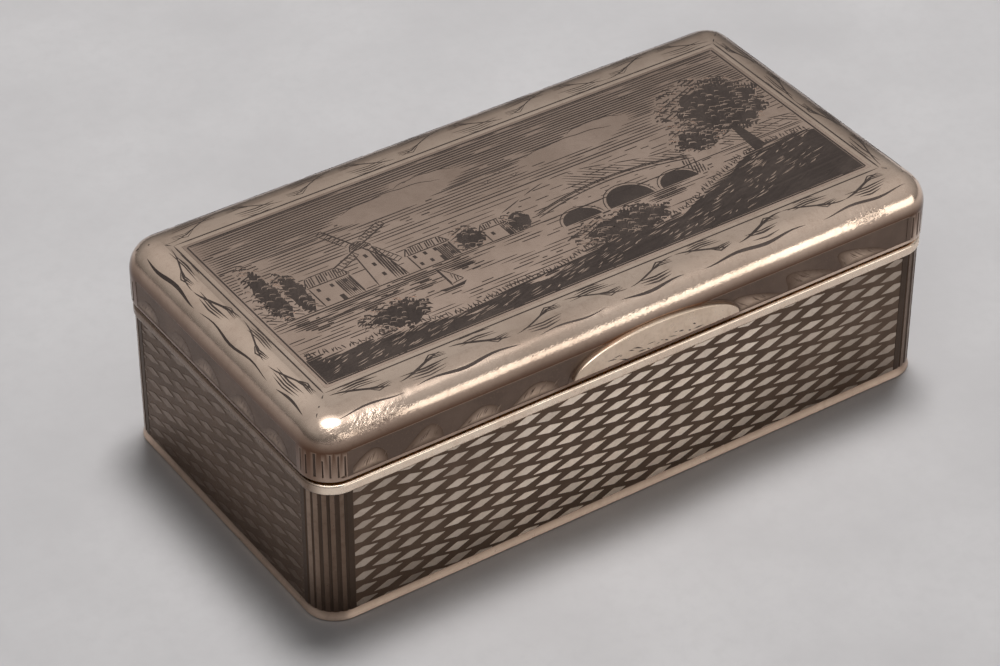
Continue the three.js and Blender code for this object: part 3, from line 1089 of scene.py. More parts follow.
@dataclass
class CaseShell:
    """The case's wall, floor, bands and bezel."""

    sizes: BoxSizes
    patina_and_light: PatinaAndPaintedLight
    flute_widths: Floats = (0.34, 0.28, 0.40, 0.32, 0.48, 0.34)  # from an end to a long side
    flute_depth: float = 0.1
    margin: float = 0.35
    band_round: float = 0.3
    foot_edge: float = 0.14
    foot_slope: float = 0.32
    foot_shoulder: float = 0.08
    foot_rows: Floats = (0.35, 0.7, 0.85)  # rows of points up its face
    foot_width: float = 0.75
    plate_thickness: float = 0.8
    plate_edge: float = 0.1
    plate_panel: Point2 = (1.45, 1.6)  # step to the plate's raised middle
    bezel_thickness: float = 0.5
    round_steps: int = 4
    band_steps: int = 6

    def corner_samples(self, number: int) -> list[tuple[Point2, Point2, bool]]:
        """Points across one fluted corner.

        Args:
            number: The corner, counted anticlockwise from the front right.

        Returns:
            Outer point, inner point and whether the face that follows lies in a flute.
        """
        plan = self.sizes.plan
        x, y, radius = plan.centre(number, self.sizes.band_proud)
        inner = plan.centre(number, self.sizes.wall_inside)[2]
        start = radians(90 * (number - 1))
        outward, onward = ahead_and_aside(90 * (number - 1))
        centre = np.array([x, y])

        def at(turn: float, depth: float, flute: bool) -> tuple[Point2, Point2, bool]:
            """A sample at an angle of the corner."""
            ray = np.array([cos(start + turn), sin(start + turn)])
            return tuple(centre + ray * (radius - depth)), tuple(centre + ray * inner), flute

        def beside(ray: np.ndarray, away: np.ndarray, depth: float) -> tuple[Point2, Point2, bool]:
            """A sample on the dark strip beside the corner."""
            base = centre + away * self.margin
            return tuple(base + ray * (radius - depth)), tuple(base + ray * inner), True

        depth = self.sizes.niello_depth
        samples = [beside(outward, -onward, depth), beside(outward, -onward, 0.0), at(0.0, 0.0, True)]
        widths = self.flute_widths if number % 2 else self.flute_widths[::-1]
        for flute, width in enumerate(widths):
            middle = (flute + 0.5) / len(widths) * pi / 2
            profile = flute_profile(width, self.flute_depth)
            samples += [at(middle + place / radius, sunk, True) for place, sunk in profile]
            samples[-1] = (*samples[-1][:2], False)
        samples[-1] = (*samples[-1][:2], True)
        samples.append(at(pi / 2, 0.0, True))
        return samples + [beside(onward, -outward, 0.0), beside(onward, -outward, depth)]

    def wall(self) -> Piece:
        """The upright wall with its fluted corners, gilt on the inside.

        Returns:
            The piece.
        """
        samples = [sample for number in range(4) for sample in self.corner_samples(number)]
        low, high = self.sizes.foot_top, self.sizes.wall_top
        outer, inner = ([sample[which] for sample in samples] for which in (0, 1))
        draft = MeshDraft(prism(outer, low, high) + prism(inner, high, low), loop=True)
        count = len(samples)
        draft.repaint(2 * count, 3 * count, 2)
        for number, sample in enumerate(samples):
            if sample[2]:
                draft.repaint(number, number + 1, 1)
        finishes = (CASE_SILVER, GROUND_NIELLO, GILT)
        piece = draft.show("case_wall", finishes)
        carve(piece, self.sizes.hinge_room(), finishes)
        tint(piece, self.patina_and_light.flutes)
        return settle(piece, Body.CASE, Slot.SILVER, "body_wall")

    def foot(self) -> Piece:
        """The foot band, whose face leans in.

        Returns:
            The piece.
        """
        top, edge, soft = self.sizes.foot_top, self.foot_edge, self.foot_shoulder
        lower = rounding(0, edge, edge, -edge, self.round_steps)[::-1]
        upper = rounding(self.foot_slope, top - soft, soft, soft, self.round_steps)
        rise = top - soft - edge
        face = [(self.foot_slope * share, edge + rise * share) for share in self.foot_rows]
        profile = [*lower, *face, *upper, (self.foot_width, top), (self.foot_width, 0)]
        draft = MeshDraft(self.sizes.plan.rings(profile), loop=True)
        piece = draft.show("foot_band_worn", (FOOT_SILVER,))
        tint(piece, self.patina_and_light.foot)
        return settle(piece, Body.CASE, Slot.BRIGHT, "foot_band")

    def rim(self) -> Piece:
        """The rim band at the seam, gilt on the inside.

        Returns:
            The piece.
        """
        sizes, size = self.sizes, self.band_round
        lower = rounding(0, sizes.wall_top + size, size, -size, self.band_steps)[::-1]
        upper = rounding(0, sizes.seam - size, size, size, self.band_steps)
        back = [(sizes.wall_inside, sizes.seam), (sizes.wall_inside, sizes.wall_top)]
        profile = [*lower, *upper, *back]
        draft = MeshDraft(sizes.plan.rings(profile), loop=True)
        count = len(sizes.plan.ring(0, 0))
        draft.repaint((len(profile) - 3) * count, (len(profile) - 1) * count, 1)
        finishes = (BAND_SILVER, GILT)
        piece = draft.show("rim_band_worn", finishes)
        carve(piece, sizes.hinge_room(), finishes)
        tint(piece, self.patina_and_light.rim)
        return settle(piece, Body.CASE, Slot.BRIGHT, "rim_band")

    def floor_plate(self) -> Piece:
        """The plate in the bottom, gilt on its upper face.

        Returns:
            The piece.
        """
        top, inset, edge = self.sizes.foot_top, self.foot_width, self.plate_edge
        low = top - self.plate_thickness
        start, end = self.plate_panel
        panel = [(inset + end, low + 0.06), (inset + start, low)]
        profile = [*panel, (inset + edge, low), (inset, low + edge), (inset, top)]
        draft = MeshDraft(self.sizes.plan.rings(profile))
        draft.repaint(len(draft.faces) - 1, len(draft.faces), 1)
        piece = draft.show("floor_plate", (CASE_SILVER, GILT))
        return settle(piece, Body.CASE, Slot.SILVER, "bottom_plate")

    def bezel(self) -> Piece:
        """The gilt collar that guides the lid, open at the back for the hinge.

        Returns:
            The piece.
        """
        low, high = span("bezel")
        outer, inner = self.sizes.wall_inside, self.sizes.wall_inside + self.bezel_thickness
        soft = self.bezel_thickness * 0.4
        profile = [(outer, low.z), *rounding(outer, high.z - soft, soft, soft, self.round_steps)]
        profile += [*rounding(inner, high.z - soft, -soft, soft, self.round_steps)[::-1], (inner, low.z)]
        piece = MeshDraft(self.sizes.plan.rings(profile), loop=True).show("bezel_worn", (GILT,))
        half = self.sizes.plan.half_length
        room = prism(rectangle((-half, high.y), (half, half)), low.z - PAST, high.z + PAST)
        carve(piece, [MeshDraft(room)], (GILT,))
        return settle(piece, Body.CASE, Slot.GILT, "bezel")

    def build(self) -> list[Piece]:
        """All of the shell's pieces."""
        return [self.wall(), self.foot(), self.rim(), self.floor_plate(), self.bezel()]


@dataclass
class DiaperFields:
    """The case's four niello fields, each with rows of reserved silver lozenges."""

    sizes: BoxSizes
    patina_and_light: PatinaAndPaintedLight
    column: float = 2.62  # between columns, which stand half a row apart
    row: float = 1.54
    first_row: float = 0.35
    half_width: float = 1.6
    half_height: float = 0.42
    climb: float = 0.018  # rise of the rows to the right
    lean: float = 0.11  # rise of each lozenge to the right
    sunk: float = 0.03
    rooted: float = 0.06
    bevel: float = 0.88
    most: float = 0.69
    quarter: Outline = ((0.5, 0.53), (0.05, 1.0))  # from its right point to its top
    seed: int = 3

    def lozenge(self, u: float, v: float, chance: random.Random) -> list[Point2]:
        """Outline of one lozenge, cut by hand.

        Args:
            u: Its middle across.
            v: Its middle in height.
            chance: Source of its irregularity.

        Returns:
            The outline.
        """
        wide = self.half_width * chance.uniform(0.84, 1.06)
        tall = self.half_height * chance.uniform(0.84, 1.12)
        rise = self.lean + chance.uniform(-0.05, 0.05)
        upper = [(1.0, 0.0), *self.quarter, *[(-a, b) for a, b in self.quarter[::-1]]]
        shape = upper + [(-a, -b) for a, b in upper]
        return [(u + wide * a, v + tall * b + rise * wide * a) for a, b in shape]

    def field(self, side: Side, node: str) -> Piece:
        """One field.

        Args:
            side: The side of the case that it is on.
            node: The solid that it stands for.

        Returns:
            The piece.
        """
        low, high = span(node)
        chance = random.Random(f"{self.seed} {side.name}")
        face = side.face(max(abs(low.x), abs(high.x)), max(abs(low.y), abs(high.y)))
        half = (high.x - low.x if side in (Side.FRONT, Side.BACK) else high.y - low.y) / 2
        draft = MeshDraft()
        ground = Graver(draft, face, chance, finish=0)
        ground.inlay(rectangle((-half, low.z), (half, high.z)), self.sizes.niello_depth, -self.sunk)
        finishes = (GROUND_NIELLO, DIAPER_SILVER)
        top = high.z
        if side is Side.BACK:
            top = self.sizes.hinge[1] - self.sizes.bearer_radius - 0.1
        cells = Graver(draft, face, chance)
        columns = int(half / self.column) + 1
        rows = int((high.z - low.z) / self.row) + 2
        edge = half - 0.06
        for column in range(-columns, columns + 1):
            for line in range(-1, rows):
                u = column * self.column + chance.uniform(-0.12, 0.12)
                v = low.z + (line + column % 2 / 2 - self.first_row) * self.row
                v += chance.uniform(-0.04, 0.04) + self.climb * u
                outline = clip(self.lozenge(u, v, chance), (-edge, low.z), (edge, top))
                if len(outline) > 2:
                    tone = self.patina_and_light.wall(face.at(u, v, 0)) * chance.gauss(1.0, 0.13)
                    cells.inlay(outline, self.sunk + self.rooted, 0.0, self.bevel, min(tone, self.most))
        piece = draft.show(f"diaper_{side.name.lower()}", finishes)
        if side is Side.BACK:
            carve(piece, self.sizes.hinge_room(), finishes)
        return settle(piece, Body.CASE, Slot.NIELLO, node)

    def build(self) -> list[Piece]:
        """The four fields."""
        return [self.field(side, f"niello_body_{side.name.lower()}") for side in Side]


@dataclass
class ThumbPiece:
    """The half oval on the lid's front, with a soft bevel and a few engraved marks."""

    sizes: BoxSizes
    bevel: float = 0.2
    back: float = 0.01
    arc_steps: int = 48
    marks: int = 18
    marks_start: float = -6.0  # first mark from the middle
    marks_run: float = 11.0
    seed: int = 11
    low: Vector = field(default_factory=lambda: span("thumb_piece")[0])
    high: Vector = field(default_factory=lambda: span("thumb_piece")[1])

    @property
    def middle(self) -> float:
        """X of its middle."""
        return (self.high.x + self.low.x) / 2

    def outline(self, margin: float) -> list[Point2]:
        """The half oval as seen from the front.

        Args:
            margin: How much larger it is drawn all round.

        Returns:
            X and Z of its points, from the right end over the top and back along the bottom.
        """
        half = (self.high.x - self.low.x) / 2 + margin
        tall = self.high.z - self.low.z + 2 * margin
        bottom = self.low.z - margin
        arc = [(self.middle + half * cos(turn), bottom + tall * sin(turn))
               for turn in np.linspace(0, pi, self.arc_steps + 1)]
        shares = np.linspace(-1, 1, self.arc_steps // 2 + 1)[1:-1]
        return arc + [(self.middle + half * share, bottom) for share in shares]

    def build(self) -> list[Piece]:
        """The half oval and its marks.

        Returns:
            The one piece.
        """
        face = Side.FRONT.face(self.sizes.plan.half_length, -self.high.y)
        thick = self.high.y - self.low.y - self.back
        curve = rounding(0.0, thick - self.bevel, self.bevel, self.bevel, 4)
        draft = MeshDraft([np.array([face.at(x, z, lift) for x, z in self.outline(-inset)])
                           for inset, lift in ((0.0, 0.0), *curve)])
        front = replace(face, origin=(0, self.high.y - thick, 0))
        chance = random.Random(self.seed)
        graver = Graver(draft, front, chance, proud=0.005, depth=0.04)
        start = self.middle + self.marks_start
        for number in range(self.marks):
            u = start + self.marks_run * number / self.marks + chance.uniform(-0.4, 0.4)
            v = self.low.z + chance.uniform(0.4, 1.15)
            length = chance.uniform(0.2, 1.3)
            fall = length * chance.uniform(-0.15, 0.5)
            path = [(u, v), (u + length / 2, v - fall * 0.35), (u + length, v - fall)]
            graver.stroke(path, chance.uniform(0.06, 0.17), 0.4)
        piece = draft.show("thumb_half_oval", (THUMB_SILVER, STROKE_NIELLO))
        return [settle(piece, Body.LID, Slot.BRIGHT, "thumb_piece")]


@dataclass
class LidWallFields:
    """The dark bands on the lid's wall, with leaves reserved in silver, each bright at its heart and dark at
    its edge.
    """

    sizes: BoxSizes
    thumb: ThumbPiece
    thumb_margin: float = 0.45
    sunk: float = 0.03
    strip_depth: float = 0.05
    strip_proud: float = 0.006
    strip_lap: float = 0.02  # a strip's lap over the field
    strip_under: float = 0.2
    corner_strip: float = 0.55
    leaf_pitch: float = 6.0
    leaf_proud: float = 0.01
    upright: float = 0.1  # lean of the leaves, and of the right ones
    swept: float = -1.7
    swell_powers: Point2 = (1.5, 0.6)  # left and right of a leaf's highest point
    heart: Point2 = (-0.04, 0.3)  # brightest place from the highest
    veined: Point2 = (0.2, 0.84)  # first and last vein
    vein_bows: Point2 = (0.03, 0.09)  # bends at its middle and its head
    brightness: float = 0.56
    # leaves on the end fields are dimmer: painted shade, like the case's darker left end
    end_brightness: float = 0.25
    edge_tone: float = 0.045
    leaf_tones: Floats = (0.95, 0.45, 0.95, 1.1)  # how bright each leaf in turn is
    seed: int = 5

    def outline(self, side: Side, node: str) -> list[Point2]:
        """The outline of a field in its face.

        Args:
            side: The side of the lid.
            node: The solid that it stands for.

        Returns:
            The outline.
        """
        low, high = span(node)
        if side is not Side.FRONT:
            half = (high.y - low.y) / 2
            return rectangle((-half, low.z), (half, high.z))
        end = self.far_end(node)
        return [(end, low.z), *self.flank(node, self.thumb_margin), (end, high.z)]

    def far_end(self, node: str) -> float:
        """X of a front field's end at the corner of the lid."""
        low, high = span(node)
        return low.x if node.endswith("left") else high.x

    def flank(self, node: str, margin: float) -> list[Point2]:
        """The thumb piece's edge beside a front field, from the field's foot to its head.

        Args:
            node: The solid that the field stands for.
            margin: How far the edge is drawn out.

        Returns:
            X and Z of its points.
        """
        low, high = span(node)
        arc = self.thumb.outline(margin)[: self.thumb.arc_steps + 1]
        near = sorted((z, x) for x, z in arc if (x < self.thumb.middle) == node.endswith("left"))
        heights, places = zip(*near)
        rows = np.linspace(low.z, high.z, 14)
        return [(float(np.interp(z, heights, places)), z) for z in rows]

    def leaf(self, leaves: Graver, foot: Point2, size: Point2, lean: float, bright: float) -> None:
        """A leaf, bright at its heart and dark at its edge, that swells from the field's lower edge,
        feathered by pale and dark veins.

        Args:
            leaves: What lays it in.
            foot: Its left corner.
            size: Its width and height.
            lean: How far it leans to the right for each millimetre that it rises.
            bright: Tone of its heart.
        """
        chance, (wide, tall) = leaves.chance, size
        peak = chance.uniform(0.5, 0.66)

        def at(share: float, rise: float) -> Point2:
            """A point of the leaf, from shares of its width and height."""
            return foot[0] + wide * share + lean * tall * rise, foot[1] + tall * rise

        def swell(share: float) -> float:
            """The leaf's height, fuller on the right."""
            if share < peak:
                return sin(share / peak * pi / 2) ** self.swell_powers[0]
            return cos((share - peak) / (1 - peak) * pi / 2) ** self.swell_powers[1]

        hump = [at(share, swell(share)) for share in np.linspace(0, 1, 25)]
        hump += [at(share, -0.02) for share in (0.75, 0.5, 0.25)]
        leaves.glow(hump, at(peak + self.heart[0], self.heart[1]), self.edge_tone, bright)
        over = leaves.proud + leaves.stagger
        tones = (self.edge_tone, bright * 0.45)
        pale = replace(leaves, proud=over + 0.001, tones=tones)
        dark = replace(leaves, finish=0, proud=over + 0.006)
        for graver, count, widths in ((pale, 6, (0.10, 0.20)), (dark, 4, (0.05, 0.10))):
            for share in np.linspace(*self.veined, count):
                start = share + chance.uniform(-0.07, 0.07)
                low = swell(share) * chance.uniform(0.02, 0.4)
                high = swell(share) * chance.uniform(0.7, 1.0)
                middle = at(start + self.vein_bows[0], (low + high) / 2)
                path = [at(start, low), middle, at(start + self.vein_bows[1], high)]
                graver.stroke(path, chance.uniform(*widths), 0.45)

    def cutter(self, side: Side, node: str) -> MeshDraft:
        """What the recess for a field, named by its side and its solid, takes away from the lid."""
        outline, lifts = self.outline(side, node), (-self.sizes.niello_depth, PAST)
        return MeshDraft([np.array([self.face(side).at(u, v, lift) for u, v in outline]) for lift in lifts])

    def face(self, side: Side) -> FlatFace:
        """The lid's upright face on a side."""
        plan = self.sizes.plan
        return side.face(plan.half_length + self.sizes.overhang, plan.half_depth + self.sizes.overhang)

    def strips(self, node: str) -> list[list[Point2]]:
        """Dark strips that close a front field against the thumb piece and the corner.

        Args:
            node: The solid that the field stands for.

        Returns:
            Their outlines.
        """
        low, high = span(node)
        near = self.flank(node, self.thumb_margin + self.strip_lap)
        end = self.far_end(node)
        ends = sorted((end, end + copysign(self.corner_strip, end)))
        far = rectangle((ends[0], low.z), (ends[1], high.z))
        return [near + self.flank(node, -self.strip_under)[::-1], far]

    def field(self, side: Side, node: str) -> Piece:
        """One field.

        Args:
            side: The side of the lid that it is on.
            node: The solid that it stands for.

        Returns:
            The piece.
        """
        chance = random.Random(f"{self.seed} {node}")
        outline = self.outline(side, node)
        draft = MeshDraft()
        ground = Graver(draft, self.face(side), chance, finish=0)
        ground.inlay(outline, self.sizes.niello_depth - 0.005, -self.sunk)
        if side is Side.FRONT:
            for strip in self.strips(node):
                ground.inlay(strip, self.strip_depth, self.strip_proud)
        low, high = span(node)
        leaves = replace(ground, finish=1, proud=self.leaf_proud - self.sunk)
        start, stop = sorted(u for u, _ in outline[:2])  # ends of the field's lower edge
        lean = self.swept if node.endswith("front_right") else self.upright
        bright = self.brightness if side is Side.FRONT else self.end_brightness
        count = round((stop - start) / self.leaf_pitch)
        pitch = (stop - start) / count
        for number in range(count):
            u = start + (number - chance.uniform(0.1, 0.25)) * pitch
            wide = pitch * chance.uniform(0.8, 1.0)
            tall = (high.z - low.z) * chance.uniform(0.52, 0.74)
            # tone of this leaf's bright heart
            rubbed = bright * self.leaf_tones[number % len(self.leaf_tones)]
            self.leaf(leaves, (u, low.z + 0.03), (wide, tall), lean, rubbed)
        piece = draft.show(node.replace("niello_lid", "leaf_band"), (LID_NIELLO, CASE_SILVER))
        return settle(piece, Body.LID, Slot.NIELLO, node)

    def homes(self) -> list[tuple[Side, str]]:
        """Each field's side and solid."""
        return [(Side.FRONT, "niello_lid_front_left"), (Side.FRONT, "niello_lid_front_right"),
                (Side.LEFT, "niello_lid_left"), (Side.RIGHT, "niello_lid_right")]

    def build(self) -> list[Piece]:
        """The four fields."""
        return [self.field(side, node) for side, node in self.homes()]


@dataclass
class LidCover:
    """The lid: upright wall, rounded edge and flat top, gilt inside, with short flutes at its corners."""

    sizes: BoxSizes
    fields: LidWallFields
    patina_and_light: PatinaAndPaintedLight
    inside_inset: float = 0.9
    inside_steps: int = 8
    top_thickness: float = 1.1
    level_ring: float = 0.6
    gilt_tone: float = 0.42
    lip_round: float = 0.1
    flute_count: int = 7
    flute_width: float = 0.24
    flute_depth: float = 0.12
    cutter_proud: float = 0.02
    cutter_back: float = 0.5
    pitch: float = 0.4  # spacing of points along the sides
    pit_patches: tuple[tuple[float, float, int], ...] = (  # X, spread and number of pits along the front edge
        (-29.5, 2.6, 26),
        (27.5, 2.0, 14),
        (-34.0, 0.8, 8),
        (0.0, 20.0, 3),
    )
    pit_limit: float = 34.5
    pits_for_full: float = 30.0
    pitted_from: float = 0.15  # shares of the edge's height
    pitted_middle: float = 0.5
    pitted_spread: float = 0.18
    dent_waves: tuple[Point2, Point2] = ((0.9, 0.7), (0.37, -0.51))  # turns of two ripples along X and Y
    dent_flat: Point2 = (0.98, 0.4)  # where dents start, and their fade
    seed: int = 17

    @property
    def wall_top(self) -> float:
        """Height at which the rounded edge starts."""
        return self.sizes.lid_bottom + self.sizes.lid_wall

    @property
    def rise(self) -> float:
        """Height of the rounded edge."""
        return self.sizes.lid_top - self.wall_top

    def pits(self) -> list[tuple[np.ndarray, float, float]]:
        """Small knocks in the rounded front edge.

        Returns:
            Place, size and depth of each.
        """
        chance = random.Random(self.seed)
        sizes = self.sizes
        found = []
        for middle, spread, count in self.pit_patches:
            for _ in range(count):
                turn = radians(chance.uniform(14, 62))
                x = min(max(chance.gauss(middle, spread), -self.pit_limit), self.pit_limit)
                y = sizes.lid_reach * (1 - cos(turn)) - sizes.plan.half_depth - sizes.overhang
                place = np.array([x, y, self.wall_top + self.rise * sin(turn)])
                found.append((place, chance.uniform(0.25, 0.5), chance.uniform(0.01, 0.04)))
        return found

    def profile(self) -> list[Point2]:
        """The lid's section, from the middle of the inside, round the lip and up to the top.

        Returns:
            Insets and heights.
        """
        sizes, soft, face = self.sizes, self.lip_round, -self.sizes.overhang
        level = sizes.lid_reach - sizes.overhang - self.inside_inset
        rise = self.rise - self.top_thickness
        inner = rounding(self.inside_inset, self.wall_top, level, rise, self.inside_steps)
        inner.append((inner[-1][0] + self.level_ring, inner[-1][1]))
        lip = rounding(face, sizes.lid_bottom + soft, soft, -soft, 3)[::-1]
        outer = rounding(face, self.wall_top, sizes.lid_reach, self.rise - sizes.skin, 18)
        return [*inner[::-1], (self.inside_inset, sizes.lid_bottom), *lip, *outer]

    def flutes(self) -> MeshDraft:
        """The short flutes in the corners, worn unevenly.

        Returns:
            Their cutters.
        """
        draft = MeshDraft()
        chance = random.Random(self.seed)
        low, high = span("niello_lid_left")
        for number in range(4):
            x, y, radius = self.sizes.plan.centre(number, -self.sizes.overhang)
            for flute in range(self.flute_count):
                share = (flute + chance.uniform(0.35, 0.65)) / self.flute_count
                middle = radians(90 * (number - 1 + share))
                width = self.flute_width * chance.uniform(0.6, 1.25)
                deep = self.flute_depth * chance.uniform(0.5, 1.0)
                rays = [(middle + place / radius, radius + self.cutter_proud - sunk)
                        for place, sunk in flute_profile(width, deep)]
                rays.append((middle, radius + self.cutter_back))
                section = [(x + far * cos(turn), y + far * sin(turn)) for turn, far in rays]
                top = high.z - chance.uniform(0.0, 0.9)
                draft.loft(prism(section, low.z + 0.15, top), finish=1)
        return draft

    def pitted(self, place: Place) -> float:
        """How pitted the lid is at a place: most along the front edge, near its ends.

        Args:
            place: The place.

        Returns:
            A share from 0 to 1.
        """
        above = (place[2] - self.wall_top) / self.rise
        if place[1] > self.sizes.lid_reach - self.sizes.plan.half_depth or above < self.pitted_from:
            return 0.0
        along = sum(count / self.pits_for_full * exp(-(((place[0] - middle) / spread) ** 2))
                    for middle, spread, count in self.pit_patches)
        return held(along) * exp(-(((above - self.pitted_middle) / self.pitted_spread) ** 2))

    def wear(self, mesh: bpy.types.Mesh) -> None:
        """Presses pits and a slight unevenness into the outside.

        Args:
            mesh: The lid's mesh, in millimetres.
        """
        places, normals = np.empty(len(mesh.vertices) * 3), np.empty(len(mesh.vertices) * 3)
        mesh.vertices.foreach_get("co", places)
        mesh.vertex_normals.foreach_get("vector", normals)
        places, normals = places.reshape(-1, 3), normals.reshape(-1, 3)
        x, y, z = places.T
        above = z - self.wall_top
        outside = (above > 0) & (normals[:, 0] * x + normals[:, 1] * y + normals[:, 2] > 0)
        first, second = (np.sin(x * along + y * across) for along, across in self.dent_waves)
        sunk = 0.012 * (1 + first * second)
        sunk *= np.clip(above, 0, 1) * np.clip((self.dent_flat[0] - normals[:, 2]) / self.dent_flat[1], 0, 1)
        for centre, size, depth in self.pits():
            sunk += depth * np.exp(-2 * ((places - centre) ** 2).sum(1) / size**2)
        places -= normals * (sunk * outside)[:, None]
        mesh.vertices.foreach_set("co", places.ravel())

    def even_gilt(self, mesh: bpy.types.Mesh) -> None:
        """Gives the gilt inside one tone.

        Args:
            mesh: The lid's mesh.
        """
        tones = mesh.attributes["tone"].data
        for face in mesh.polygons:
            if face.material_index == 2:
                for corner in face.vertices:
                    tones[corner].value = self.gilt_tone

    def build(self) -> list[Piece]:
        """The lid's shell.

        Returns:
            The one piece.
        """
        plan = replace(self.sizes.plan, pitch=self.pitch)
        draft = MeshDraft(plan.rings(self.profile()))
        inner_strips = self.inside_steps + 2
        draft.repaint(0, inner_strips * len(plan.ring(0, 0)), 2)
        draft.repaint(len(draft.faces) - 2, len(draft.faces) - 1, 2)
        finishes = (LID_SILVER, LID_NIELLO, GILT)
        piece = draft.show("lid_shell", finishes)
        self.wear(piece.data)
        low, high = span("niello_lid_picture")
        recess = prism(rectangle((low.x, low.y), (high.x, high.y)), low.z, high.z + PAST)
        cutters = [MeshDraft(recess), self.flutes(), *self.sizes.hinge_room()]
        cutters += [self.fields.cutter(side, node) for side, node in self.fields.homes()]
        carve(piece, cutters, finishes)
        tint(piece, self.patina_and_light.lid)
        self.even_gilt(piece.data)
        tint(piece, self.pitted, "pits")
        return [settle(piece, Body.LID, Slot.SILVER, "lid_cover")]


@dataclass
class LidBorder:
    """Ornament round the picture: a double frame, mitred corners and worn leaf scrolls."""

    sizes: BoxSizes
    frame_gap: float = 0.55
    rim_lines: Floats = (1.55, 1.35, 1.35, 1.1)  # lid's face to the line on its rounded edge
    rim_widths: Floats = (0.25, 0.2, 0.16, 0.26)
    scroll_share: float = 0.92
    wave: float = 12.6
    hatching: int = 6
    stalks: Floats = (0.12, 0.2, 0.3)  # fall of each stalk
    weights: Floats = (1.15, 0.75, 0.6, 0.95)  # boldness of each side
    seed: int = 21

    def side_map(self, number: int) -> tuple[Callable[[float, float], Point2], float, float]:
        """Where a place along a side and out from the frame lies on the lid.

        Args:
            number: 0 for the front, then anticlockwise.

        Returns:
            The map, half the length of that side of the frame, and its distance from the lid's middle.
        """
        high = span("niello_lid_picture")[1]
        halves = (high.x + self.frame_gap, high.y + self.frame_gap)
        half, edge = halves[number % 2], halves[1 - number % 2]
        ahead, aside = ahead_and_aside(90 * number)
        return (lambda s, t: tuple(ahead * s - aside * (edge + t))), half, edge

    def scroll(self, graver: Graver, number: int, wide: float) -> None:
        """A worn wave of stems with shaded leaves in its hollows.

        Args:
            graver: What cuts it.
            number: The side, 0 for the front, then anticlockwise.
            wide: Width of the scroll.
        """
        chance, weight = graver.chance, self.weights[number]
        place, half, _ = self.side_map(number)
        turns = max(round(2 * half / self.wave), 1)
        wave = 2 * half / turns

        def stem(s: float) -> float:
            """How far out the stem lies."""
            return wide * (0.48 - 0.3 * cos(2 * pi * (s + half) / wave))

        def cut(path: Outline, least: float, most: float) -> None:
            """Cuts a stroke of a width between two limits."""
            graver.stroke([place(*point) for point in path], weight * chance.uniform(least, most), 0.35)

        for bend in range(2 * turns):
            start = -half + bend * wave / 2
            run = np.linspace(start + 0.2, start + wave * chance.uniform(0.42, 0.55), 12)
            cut([(s, stem(s)) for s in run], 0.14, 0.26)
            crest = start + wave / 4
            base = stem(crest)
            side = 1 if bend % 2 else -1
            bow = side * 0.05 * wide
            for line in range(self.hatching):
                t = base + side * (0.12 + 0.1 * line) * wide
                reach = wave * (0.2 - 0.022 * line) * chance.uniform(0.7, 1.1)
                if 0.05 * wide < t < 0.97 * wide and chance.random() < 0.85:
                    cut([(crest - reach, t), (crest, t + bow), (crest + reach, t - bow * 0.4)], 0.09, 0.2)
            for fall in self.stalks:
                drop = side * fall * wide
                bend_at, end = (crest + wave * 0.1, base - drop), (crest + wave * 0.22, base - drop * 0.6)
                cut([(crest, base), bend_at, end], 0.08, 0.16)

    def build(self) -> list[Piece]:
        """All of the border's strokes.

        Returns:
            The one piece.
        """
        sizes = self.sizes
        chance = random.Random(self.seed)
        draft = MeshDraft()
        graver = Graver(draft, LidTop(sizes), chance, finish=0)
        for number in range(4):
            place, half, edge = self.side_map(number)
            reach = (sizes.plan.half_depth, sizes.plan.half_length)[number % 2] + sizes.overhang - edge
            wide = reach - self.rim_lines[number]
            graver.stroke([place(s, 0) for s in np.linspace(-half, half, 40)], 0.16, 0.01)
            mitre = [place(half + step, step) for step in (0.1, wide * 0.5, wide * 0.8)]
            graver.stroke(mitre, 0.12)
            self.scroll(graver, number, wide * self.scroll_share)
            s = -half - 0.6
            while s < half:
                length = chance.uniform(6.0, 14.0)
                run = np.linspace(s, min(s + length, half + 0.8), 16)
                line = [place(a, wide + 0.13 * sin(a * 0.9)) for a in run]
                graver.stroke(line, self.rim_widths[number] * chance.uniform(0.6, 1.25), 0.4)
                s += length + chance.uniform(0.3, 2.5)
        piece = draft.show("lid_border", (STROKE_NIELLO,))
        return [settle(piece, Body.LID, Slot.NIELLO)]


